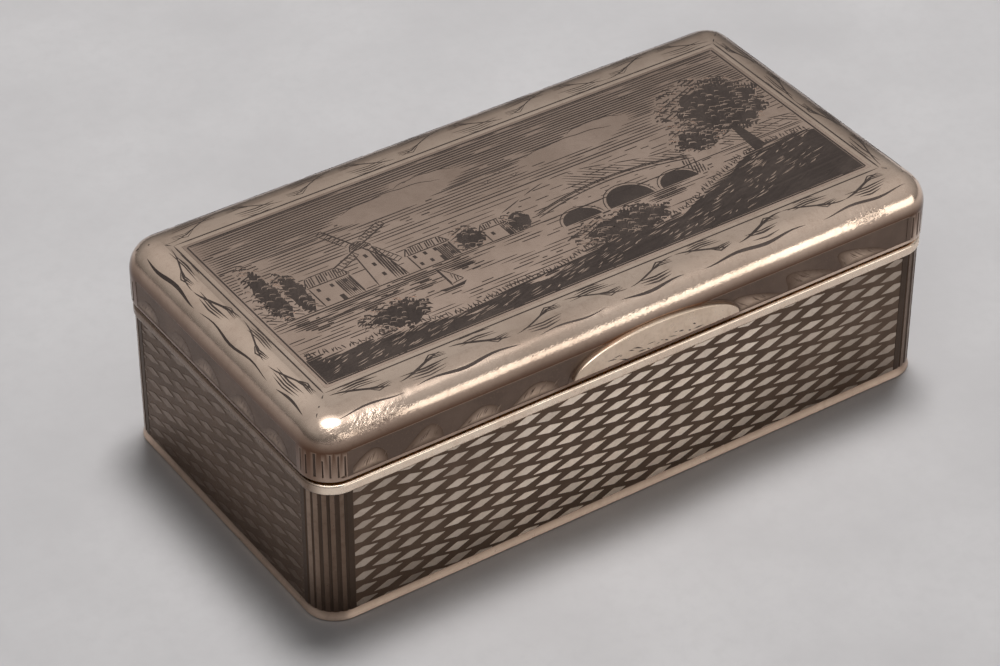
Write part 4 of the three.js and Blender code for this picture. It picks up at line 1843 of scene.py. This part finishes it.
@dataclass
class LidPicture:
    """A made-up riverside view on the lid: a plate of silver with niello in every stroke."""

    sizes: BoxSizes
    seed: int = 7
    shore: float = -2.8
    frame_line: float = 0.4
    frame_gap: float = 0.15
    tones: Floats = (0.68, 0.6, 0.32, 0.37)  # plate's corners, anticlockwise from the front left: painted light, brighter at the front and darker at the back
    crowns: tuple[Floats, ...] = (  # middle, half width and half height
        (25.0, 4.4, 5.8, 5.2),
        (20.0, 0.6, 2.6, 2.4),
        (5.5, -7.3, 5.6, 2.3),
        (-20.5, -7.4, 3.6, 2.2),
        (-29.0, 2.2, 1.35, 5.0),
        (-26.6, 0.9, 1.2, 3.7),
        (-8.2, -0.9, 1.7, 1.9),
        (-2.6, -1.2, 1.4, 1.6),
    )
    trunk: tuple[Point2, Point2] = ((24.0, 25.6), (24.5, 25.2))  # its foot and its top
    leaf: Outline = ((-1.0, 0.0), (-0.3, 0.7), (0.6, 0.3), (1.0, -0.3))
    houses: tuple[tuple[float, float, float, int], ...] = (  # left side, width, height and rows of windows
        (-25.2, 4.4, 3.4, 2),
        (-14.6, 4.6, 2.6, 2),
        (-6.4, 3.0, 2.1, 1),
    )
    mill_middle: float = -17.6
    bridge_ends: Point2 = (-0.6, 18.2)
    arches: tuple[Point3, ...] = (  # place, width and height
        (-0.62, 0.23, 1.9),
        (0.0, 0.28, 2.7),
        (0.62, 0.23, 1.9),
    )
    boat_place: Point2 = (-13.5, -7.0)
    clouds: tuple[Floats, ...] = (  # middle, half width and half height
        (-11.0, 8.2, 6.5, 1.5),
        (-6.5, 9.2, 4.0, 1.3),
        (9.0, 6.6, 6.0, 1.2),
        (13.0, 7.6, 3.8, 1.3),
    )
    birds: tuple[Point2, ...] = ((-1.5, 5.6), (0.4, 6.4), (1.6, 5.2), (18.5, 10.4))
    bird: Outline = ((-0.6, 0.25), (-0.25, 0.3), (0.0, 0.0), (0.3, 0.33), (0.65, 0.2))
    solids: list[Outline] = field(default_factory=list)

    def __post_init__(self) -> None:
        """Lays the plate and readies a graver for dark strokes and one for bright strokes."""
        low, high = span("niello_lid_picture")
        top = self.sizes.lid_top - self.sizes.skin
        face = FlatFace((0, 0, top), (1, 0, 0), (0, 1, 0), (0, 0, 1))
        self.dark = Graver(MeshDraft(), face, random.Random(self.seed))
        self.light = replace(self.dark, finish=0, proud=0.013)
        self.light.inlay(self.inset(0.015), top - low.z, 0.0)
        # painted light: the plate's tone runs from its brighter front to its darker back
        self.dark.draft.tones[:] = self.tones * 2
        self.width, self.tall = (half - self.frame_line - self.frame_gap for half in (high.x, high.y))

    def inset(self, margin: float) -> list[Point2]:
        """The corners of the plate's recess, drawn in by a margin."""
        low, high = span("niello_lid_picture")
        return rectangle((low.x + margin, low.y + margin), (high.x - margin, high.y - margin))

    def hills(self, u: float) -> float:
        """Height of the far hills."""
        return 0.7 + 1.5 * sin(u / 7.5 + 0.8) + 0.7 * sin(u / 3.1)

    def bank(self, u: float) -> float:
        """Height of the near bank, which rises to a knoll on the right.

        Args:
            u: The place across.

        Returns:
            The height there.
        """
        knoll = held((u - 11) / 13)
        level = -9.4 + 0.9 * sin(u / 6.2 + 0.5) + 0.3 * sin(u / 1.9)
        return level + 6.0 * knoll * knoll * (3 - 2 * knoll)

    def free(self, u: float, v: float) -> bool:
        """Whether nothing nearer hides a point."""
        return not any(inside(outline, u, v) for outline in self.solids)

    def crown(self, x: float, y: float, wide: float, tall: float) -> None:
        """A crown of leaves, dark on its right.

        Args:
            x: Its middle across.
            y: Its middle in height.
            wide: Half its width.
            tall: Half its height.
        """
        chance = self.dark.chance
        edge = []
        for turn in np.linspace(0, 2 * pi, 44, endpoint=False):
            u = x + wide * cos(turn) * (1 + 0.09 * sin(turn * 9) + 0.05 * sin(turn * 5))
            edge.append((u, y + tall * sin(turn) * (1 + 0.09 * sin(turn * 9 + 1))))
        box = ((x - wide * 1.2, y - tall * 1.2), (x + wide * 1.2, y + tall * 1.2))

        def within(u: float, v: float) -> bool:
            """Whether a point lies in the crown."""
            return inside(edge, u, v)

        def shaded(u: float, v: float) -> bool:
            """Whether a point lies on its darker side."""
            return within(u, v) and (u - x) / wide - 0.5 * (v - y) / tall > -0.25

        heart = (x + 0.14 * wide, y - 0.12 * tall)
        self.dark.fill([(heart[0] + (u - x) * 0.76, heart[1] + (v - y) * 0.76) for u, v in edge])
        self.dark.rule(shaded, box, 62, 0.34, 0.26, 0.12)
        self.dark.rule(within, box, 20, 0.45, 0.18, 0.4)
        for graver, closeness, widths in ((self.dark, 9, (0.12, 0.26)), (self.light, 5, (0.07, 0.15))):
            for _ in range(int(wide * tall * closeness)):
                turn, far = chance.uniform(0, 2 * pi), sqrt(chance.random())
                u, v = x + wide * far * cos(turn), y + tall * far * sin(turn)
                curl = chance.uniform(0.25, 0.5)
                path = [(u + a * curl, v + b * curl) for a, b in self.leaf]
                graver.stroke(path, chance.uniform(*widths), 0.3)
        self.solids.append(edge)

    def draw(self, width: float, *outlines: Outline) -> None:
        """Draws the sides of outlines, which then hide what lies behind them.

        Args:
            width: Width of the lines.
            *outlines: The outlines.
        """
        for side in [side for outline in outlines for side in sides(outline)]:
            self.dark.stroke(side, width)
        self.solids += outlines

    def house(self, u: float, wide: float, tall: float, floors: int) -> None:
        """A gabled house on the far shore.

        Args:
            u: Its left side.
            wide: Its width.
            tall: Height of its wall.
            floors: How many rows of windows it has.
        """
        base, eaves = self.shore, self.shore + tall
        ridge = eaves + tall * 0.45
        roof = [(u - 0.25, eaves), (u + wide + 0.25, eaves), (u + wide - 0.5, ridge), (u + 0.5, ridge)]
        self.draw(0.13, rectangle((u, base), (u + wide, eaves)), roof)
        box = ((u - 0.3, eaves), (u + wide + 0.3, ridge))
        self.dark.rule(lambda a, b: inside(roof, a, b), box, 78, 0.26, 0.13)
        self.dark.rule(lambda a, b: a > u + wide * 0.62, ((u, base), (u + wide, eaves)), 90, 0.21, 0.15)
        columns = max(int(wide / 1.15), 2)
        for floor in range(floors):
            for column in range(columns):
                x = u + wide * (column + 0.5) / columns
                z = base + tall * (floor + 0.42) / floors
                if floor == 0 and column == columns // 2:
                    self.dark.fill(rectangle((x - 0.24, base), (x + 0.24, base + 0.95)))
                else:
                    self.dark.fill(rectangle((x - 0.17, z), (x + 0.17, z + 0.5)))

    def mill(self, u: float) -> None:
        """A windmill with four sails.

        Args:
            u: Its middle.
        """
        base, top = self.shore, self.shore + 6.2
        tower = [(u - 1.7, base), (u + 1.7, base), (u + 1.05, top), (u - 1.05, top)]
        peak = [(u + 0.7, top + 0.9), (u, top + 1.2), (u - 0.7, top + 0.9)]
        cap = [(u - 1.2, top), (u + 1.2, top), *peak]
        self.draw(0.14, tower, cap)
        box = ((u - 1.8, base), (u + 1.8, top))
        self.dark.rule(lambda a, b: a > u + 0.2 and inside(tower, a, b), box, 86, 0.26, 0.17)
        box = ((u - 1.3, top), (u + 1.3, top + 1.3))
        self.dark.rule(lambda a, b: inside(cap, a, b), box, 20, 0.22, 0.15)
        for height in (1.2, 3.0, 4.6):
            self.dark.fill(rectangle((u - 0.45, base + height), (u - 0.1, base + height + 0.55)))
        hub = np.array([u, top + 0.35])
        for turn in (24, 114, 204, 294):
            ahead, aside = ahead_and_aside(turn)
            wing = aside * 0.8
            self.dark.stroke([hub, hub + ahead * 4.6], 0.17)
            self.dark.stroke([hub + ahead * 1.1 + wing, hub + ahead * 4.5 + wing], 0.1)
            for rung in np.linspace(1.1, 4.5, 8):
                self.dark.stroke([hub + ahead * rung, hub + ahead * rung + wing], 0.09)

    def bridge(self, left: float, right: float) -> None:
        """A stone bridge of three arches.

        Args:
            left: Its left end.
            right: Its right end.
        """
        middle, half = (left + right) / 2, (right - left) / 2
        base = self.shore - 1.9

        def road(u: float) -> float:
            """Height of the roadway."""
            return self.shore + 0.7 + 1.5 * (1 - ((u - middle) / half) ** 2)

        run = np.linspace(left, right, 24)
        for lift, width in ((0.0, 0.15), (0.42, 0.11), (0.62, 0.15)):
            self.dark.stroke([(u, road(u) + lift) for u in run], width, 0.03)
        for u in np.linspace(left + 0.6, right - 0.6, 26):
            self.dark.stroke([(u, road(u) + 0.42), (u, road(u) + 0.62)], 0.08)
        arches = []
        for place, wide, tall in self.arches:
            arch, ring = ([(middle + place * half + (wide * half + more) * cos(turn),
                            base + (tall + more) * sin(turn)) for turn in np.linspace(0, pi, 15)]
                          for more in (0.0, 0.3))
            arches.append(arch)
            self.dark.fill(arch)
            self.dark.stroke(ring, 0.1, 0.05)
        stones = [(u, road(u)) for u in run] + [(right, base), (left, base)]

        def wall(u: float, v: float) -> bool:
            """Whether a point lies on the stonework."""
            return inside(stones, u, v) and not any(inside(arch, u, v) for arch in arches)

        box = ((left, base), (right, self.shore + 2.4))
        self.dark.rule(wall, box, 0, 0.52, 0.08, 0.9)
        self.dark.rule(lambda u, v: wall(u, v) and u > middle + half * 0.82, box, 70, 0.3, 0.14, 0.1)
        self.solids.append(stones)

    def boat(self, u: float, v: float) -> None:
        """A small sailing boat.

        Args:
            u: Its middle.
            v: Its waterline.
        """
        hull = [(-1.5, 0.45), (-1.1, 0.0), (1.0, 0.0), (1.6, 0.5), (0.0, 0.35)]
        self.dark.fill([(u + a, v + b) for a, b in hull])
        self.dark.stroke([(u, v + 0.3), (u, v + 3.6)], 0.13)
        sail = [(u + 0.12, v + 0.7), (u + 1.5, v + 0.9), (u + 0.9, v + 2.2), (u + 0.12, v + 3.4)]
        self.draw(0.1, sail)
        box = ((u, v), (u + 1.6, v + 3.5))
        self.dark.rule(lambda a, b: a > u + 0.6 and inside(sail, a, b), box, 75, 0.24, 0.09)

    def water(self) -> None:
        """Ripples of the river, and the reflections of the bridge and the houses."""

        def river(u: float, v: float) -> bool:
            """Whether a point lies on open water."""
            return self.bank(u) + 0.25 < v < self.shore - 0.15 and self.free(u, v)

        def rippled(u: float, v: float) -> bool:
            """Whether the water is ruffled there."""
            return river(u, v) and sin(u * 0.5 + v * 2.3) + sin(u * 0.21 - v * 1.1) > -0.5

        def reflected(u: float, v: float) -> bool:
            """Whether the bridge or the houses darken the water there."""
            houses = v > self.shore - 2.3 - 0.5 * sin(u * 1.1) and -30.0 < u < -9.5
            return river(u, v) and (houses or v > self.shore - 3.6 and 2.0 < u < 14.5)

        self.dark.rule(rippled, ((-self.width, -12), (self.width, self.shore)), 0, 0.46, 0.12, 0.22)
        self.dark.rule(reflected, ((-self.width, -12), (16, self.shore)), 0, 0.28, 0.18, 0.15)

    def land(self) -> None:
        """The dark near bank with its grass, and the far hills."""
        chance, width, tall = self.dark.chance, self.width, self.tall
        mass = [(u, self.bank(u) - 0.55 - 0.3 * sin(u * 0.8)) for u in np.linspace(-width, width, 70)]
        self.dark.fill(mass + [(width, -tall), (-width, -tall)])
        box = ((-width, -tall), (width, 0))
        self.dark.rule(lambda u, v: v < self.bank(u), box, 3, 0.3, 0.25, 0.12)
        self.dark.rule(lambda u, v: v < self.bank(u) - 0.9, box, 24, 0.34, 0.24, 0.2)
        for u in np.repeat(np.arange(-width + 0.4, width - 0.4, 0.42), 2):
            v, lean, blade = self.bank(u) - 0.1, chance.uniform(-0.4, 0.4), chance.uniform(0.35, 0.95)
            path = [(u, v), (u + lean * 0.4, v + blade * 0.6), (u + lean, v + blade)]
            self.dark.stroke(path, 0.1, 0.3)
        for _ in range(380):
            u, length = chance.uniform(-width + 1, width - 2), chance.uniform(0.4, 1.8)
            v = self.bank(u) - chance.uniform(0.4, 5.5)
            if v > -tall + 0.3:
                path = [(u, v), (u + length * 0.5, v + 0.12), (u + length, v + 0.3)]
                self.light.stroke(path, chance.uniform(0.06, 0.14), 0.4)
        ridge = np.array([(u, self.hills(u)) for u in np.linspace(-width, width, 90)])
        for part in np.array_split(ridge, 18):
            if all(self.free(u, v) for u, v in part):
                self.dark.stroke(part, 0.12, 0.1)

        def slope(u: float, v: float) -> bool:
            """Whether a point lies on the far hills."""
            return self.shore + 0.2 < v < self.hills(u) - 0.15 and self.free(u, v)

        def steep(u: float, v: float) -> bool:
            """Whether it lies on their shaded side."""
            return slope(u, v) and self.hills(u + 0.4) < self.hills(u)

        far = ((-width, self.shore), (width, 4.0))
        self.dark.rule(steep, far, -38, 0.45, 0.11, 0.15)
        self.dark.rule(slope, far, 0, 0.75, 0.1, 0.6)
        self.dark.stroke([(u, self.shore) for u in np.linspace(-width, width, 60)], 0.12, 0.01)

    def sky(self) -> None:
        """A ruled sky, closer and darker towards the top, with clouds left bare."""

        def open_sky(u: float, v: float) -> bool:
            """Whether a point lies above the hills, clear of clouds."""
            bare = any(((u - x) / w) ** 2 + ((v - y) / h) ** 2 < 1 for x, y, w, h in self.clouds)
            return v > self.hills(u) + 0.35 and not bare and self.free(u, v)

        bands = ((7.0, self.tall, 0.36, 0.17, 0.04), (3.2, 7.0, 0.44, 0.13, 0.08), (0.0, 3.2, 0.6, 0.1, 0.3))
        for low, high, pitch, line, wear in bands:
            self.dark.rule(open_sky, ((-self.width, low), (self.width, high)), 0, pitch, line, wear)
        for x, y, w, h in self.clouds:
            rim = []
            for turn in np.linspace(0.3, 2.6, 22):
                v = y + h * (sin(turn) + 0.12 * abs(sin(turn * 5)))
                rim.append((x + w * cos(turn) * 0.98, v))
            self.dark.stroke([point for point in rim if point[1] < self.tall], 0.09, 0.2)
        for u, v in self.birds:
            self.dark.stroke([(u + a, v + b) for a, b in self.bird], 0.09, 0.3)

    def build(self) -> list[Piece]:
        """The plate with the whole view on it.

        Returns:
            The one piece.
        """
        for side in sides(self.inset(self.frame_line)):
            self.dark.stroke(side, 0.17, 0.004)
        near = [(u, self.bank(u)) for u in np.linspace(-self.width, self.width, 80)]
        self.solids.append(near + [(self.width, -self.tall), (-self.width, -self.tall)])
        foot, top = self.trunk
        trunk = [(u, self.bank(u) - 0.2) for u in foot] + [(u, 1.6) for u in top[::-1]]
        self.dark.fill(trunk)
        for crown in self.crowns:
            self.crown(*crown)
        self.boat(*self.boat_place)
        self.bridge(*self.bridge_ends)
        self.mill(self.mill_middle)
        for house in self.houses:
            self.house(*house)
        self.land()
        self.water()
        self.sky()
        piece = self.dark.draft.show("lid_picture", (PLATE_SILVER, STROKE_NIELLO))
        return [settle(piece, Body.LID, Slot.NIELLO, "niello_lid_picture")]


@dataclass
class Hinge:
    """Two half-round bearers, seven knuckles, their pin and two plugs."""

    sizes: BoxSizes
    bearer_thickness: float = 0.5
    bearer_soft: float = 0.06
    inner_angle: float = 10.0  # degrees, to its edge inside the box
    chamfer: float = 0.1
    knuckles: int = 7
    bore_clearance: float = 0.06
    crown: float = 0.25
    crown_angle: float = 82.0

    def bearer(self, body: Body, side: int) -> Piece:
        """One bearer.

        Args:
            body: The body that carries it.
            side: 1 above the pin, -1 below it.

        Returns:
            The piece.
        """
        node = f"{body.value}_hinge_bearer"
        y, z = self.sizes.hinge
        outer, half, soft = y - span(node)[0].y, self.sizes.hinge_half, self.bearer_soft
        sweep = (self.sizes.bearer_angle, 180 - self.inner_angle, 33)
        turns = np.radians(np.linspace(*sweep)) * side
        rings = []
        for x, trim in ((-half, soft), (-half + soft, 0.0), (half - soft, 0.0), (half, soft)):
            arcs = ((outer - trim, turns), (outer - self.bearer_thickness + trim, turns[::-1]))
            rings.append(np.array([(x, y + radius * cos(turn), z + radius * sin(turn))
                                   for radius, arc in arcs for turn in arc]))
        return self.show(MeshDraft(rings), f"{node}_bent", node, body)

    def knuckle(self, node: str, body: Body, bore: float) -> Piece:
        """One knuckle with softened ends.

        Args:
            node: The solid that it stands for.
            body: The body that it belongs to.
            bore: Radius of its bore.

        Returns:
            The piece.
        """
        low, high = span(node)
        radius, soft = (high.y - low.y) / 2, self.chamfer
        end = [(0.0, bore), (0.0, radius - soft), (soft * 0.3, radius - soft * 0.3), (soft, radius)]
        profile = [(low.x + x, size) for x, size in end] + [(high.x - x, size) for x, size in end[::-1]]
        return self.show(MeshDraft(self.sizes.turned(profile), loop=True), f"{node}_turned", node, body)

    def plug(self, node: str) -> Piece:
        """A plug with a low crown.

        Args:
            node: The solid that it stands for.

        Returns:
            The piece.
        """
        low, high = span(node)
        radius, outward = (high.y - low.y) / 2, 1 if high.x > 0 else -1
        inner, outer = (low.x, high.x) if outward > 0 else (high.x, low.x)
        profile = [(inner, radius)]
        for turn in np.linspace(0, radians(self.crown_angle), 9):
            x = outer - outward * self.crown * (1 - sin(turn))
            profile.append((x, radius * cos(turn)))
        return self.show(MeshDraft(self.sizes.turned(profile)), f"{node}_domed", node)

    def pin(self) -> Piece:
        """The wire through all the knuckles.

        Returns:
            The piece.
        """
        low, high = span("hinge_pin")
        radius, soft = (high.y - low.y) / 2, self.chamfer
        profile = [(low.x, radius - soft), (low.x + soft, radius)]
        profile += [(high.x - soft, radius), (high.x, radius - soft)]
        draft = MeshDraft(self.sizes.turned(profile, 32))
        return settle(draft.show("hinge_wire", (HINGE_SILVER,)), Body.CASE, Slot.BRIGHT, "hinge_pin")

    def show(self, draft: MeshDraft, name: str, node: str, body: Body = Body.CASE) -> Piece:
        """A draft as a piece of the hinge that stands for a solid."""
        return settle(draft.show(name, (HINGE_SILVER,)), body, Slot.SILVER, node)

    def build(self) -> list[Piece]:
        """All of the hinge's pieces.

        Returns:
            The pieces.
        """
        low, high = span("hinge_pin")
        bore = (high.y - low.y) / 2 + self.bore_clearance
        pieces = [self.bearer(Body.CASE, -1), self.bearer(Body.LID, 1), self.pin()]
        for number in range(1, self.knuckles + 1):
            body = Body.CASE if number % 2 else Body.LID
            pieces.append(self.knuckle(f"{body.value}_knuckle_{number}", body, bore))
        return pieces + [self.plug("hinge_plug_left"), self.plug("hinge_plug_right")]


class LampForm(Enum):
    """Outline of a lamp's pane."""

    SQUARE = "RECTANGLE"
    ROUND = "ELLIPSE"


@dataclass(frozen=True)
class Lamp:
    """A soft flat lamp, in metres and watts."""

    name: str
    place: Point3
    size: Point2
    power: float
    aim: Point3 = (0, 0, 0)
    colour: Colour = (1.0, 0.985, 0.97)
    mirrored: bool = True  # whether metal shows it
    spread: bool = False  # whether it lights the paper
    form: LampForm = LampForm.SQUARE

    def build(self) -> None:
        """Hangs the lamp."""
        data = bpy.data.lights.new(self.name, "AREA")
        data.shape = self.form.value
        data.size, data.size_y = self.size
        data.energy = self.power
        data.color = self.colour
        lamp = bpy.data.objects.new(self.name, data)
        lamp.location = self.place
        lamp.visible_glossy = self.mirrored
        lamp.visible_diffuse = self.spread
        way = Vector(np.subtract(self.aim, self.place))
        lamp.rotation_euler = way.to_track_quat("-Z", "Y").to_euler()
        bpy.context.scene.collection.objects.link(lamp)


@dataclass
class Studio:
    """Floor, lamps and camera."""

    azimuth: float = -33.976
    elevation: float = 37.349
    distance: float = 341.73
    shift: Point2 = (-3.107, -3.177)  # camera to the right and up
    aim_height: float = 12.0
    lens: float = 123.48
    floor_half: float = 3.0  # metres
    paper: PaperFloor = PaperFloor("paper", (0.63, 0.62, 0.63), (0.56, 0.55, 0.56))
    room: Point2 = (0.2, 0.6)  # the room's brightness from level to overhead, as metal shows it
    fill: float = 0.29  # share of it that lights the paper
    lamps: tuple[Lamp, ...] = (
        Lamp("overhead", (0.17, 0.185, 0.965), (0.28, 0.28), 8.1, mirrored=False, spread=True),
        Lamp("glint", (-0.12, -0.32, 0.94), (0.96, 0.38), 2.7, form=LampForm.ROUND),
        Lamp("halo", (-0.12, -0.3, 0.96), (1.35, 0.8), 2.0, form=LampForm.ROUND),
        Lamp("front_strip", (0.244, -0.48, 0.11), (0.5, 0.19), 0.49, (0, 0, 0.02), (1.0, 0.99, 0.95)),
    )

    def floor(self) -> None:
        """Lays the paper."""
        half = self.floor_half
        mesh = bpy.data.meshes.new("paper")
        mesh.from_pydata(prism(rectangle((-half, -half), (half, half)), 0)[0], [], [(0, 1, 2, 3)])
        paper = bpy.data.objects.new("paper", mesh)
        mesh.materials.append(self.paper.material())
        bpy.context.scene.collection.objects.link(paper)

    def light(self) -> None:
        """Lights the room, most from overhead, and hangs the lamps."""
        world = bpy.data.worlds.new("room")
        world.use_nodes = True
        tree = world.node_tree
        way = add_node(tree, "ShaderNodeTexCoord", {}).outputs["Generated"]
        height = add_node(tree, "ShaderNodeSeparateXYZ", {0: way}).outputs["Z"]
        level = add_node(tree, "ShaderNodeMapRange", {0: height, 3: self.room[0], 4: self.room[1]})
        rays = add_node(tree, "ShaderNodeLightPath", {}).outputs
        seen = rays["Is Camera Ray"]
        for kind in ("Is Glossy Ray", "Is Transmission Ray"):
            seen = add_node(tree, "ShaderNodeMath", {0: seen, 1: rays[kind]}, operation="ADD").outputs[0]
        strength = add_node(tree, "ShaderNodeMapRange", {0: seen, 3: self.fill, 4: 1.0})
        room = tree.nodes["Background"].inputs
        tree.links.new(level.outputs[0], room["Color"])
        tree.links.new(strength.outputs[0], room["Strength"])
        bpy.context.scene.world = world
        for lamp in self.lamps:
            lamp.build()

    def camera(self) -> None:
        """Stands the camera at the photograph's view."""
        turn, rise = radians(self.azimuth), radians(self.elevation)
        back = Vector((sin(turn) * cos(rise), -cos(turn) * cos(rise), sin(rise)))
        right = Vector((cos(turn), sin(turn), 0))
        up = back.cross(right)
        data = bpy.data.cameras.new("view")
        data.lens = self.lens
        data.sensor_fit = "HORIZONTAL"
        data.clip_start = 0.01
        camera = bpy.data.objects.new("view", data)
        aim = Vector((0, 0, self.aim_height)) + right * self.shift[0] + up * self.shift[1]
        turned = Matrix((right, up, back)).transposed().to_4x4()
        camera.matrix_world = Matrix.Translation((aim + back * self.distance) * MM) @ turned
        bpy.context.scene.collection.objects.link(camera)
        bpy.context.scene.camera = camera

    def build(self) -> None:
        """Sets up the whole studio."""
        self.floor()
        self.light()
        self.camera()
        bpy.context.scene.view_settings.view_transform = "Standard"


def main() -> None:
    """Builds the box and the studio."""
    logging.basicConfig(level=logging.INFO, format="%(name)s: %(message)s")
    sizes = BoxSizes.read()
    patina_and_light = PatinaAndPaintedLight(sizes)
    thumb = ThumbPiece(sizes)
    fields = LidWallFields(sizes, thumb)
    assemblies = (
        CaseShell(sizes, patina_and_light),
        DiaperFields(sizes, patina_and_light),
        Hinge(sizes),
        LidCover(sizes, fields, patina_and_light),
        fields,
        thumb,
        LidBorder(sizes),
        LidPicture(sizes),
    )
    for assembly in assemblies:
        for piece in assembly.build():
            LOG.info("%s: %d faces", piece.name, len(piece.data.polygons))
    Studio().build()


if __name__ == "__main__":
    main()
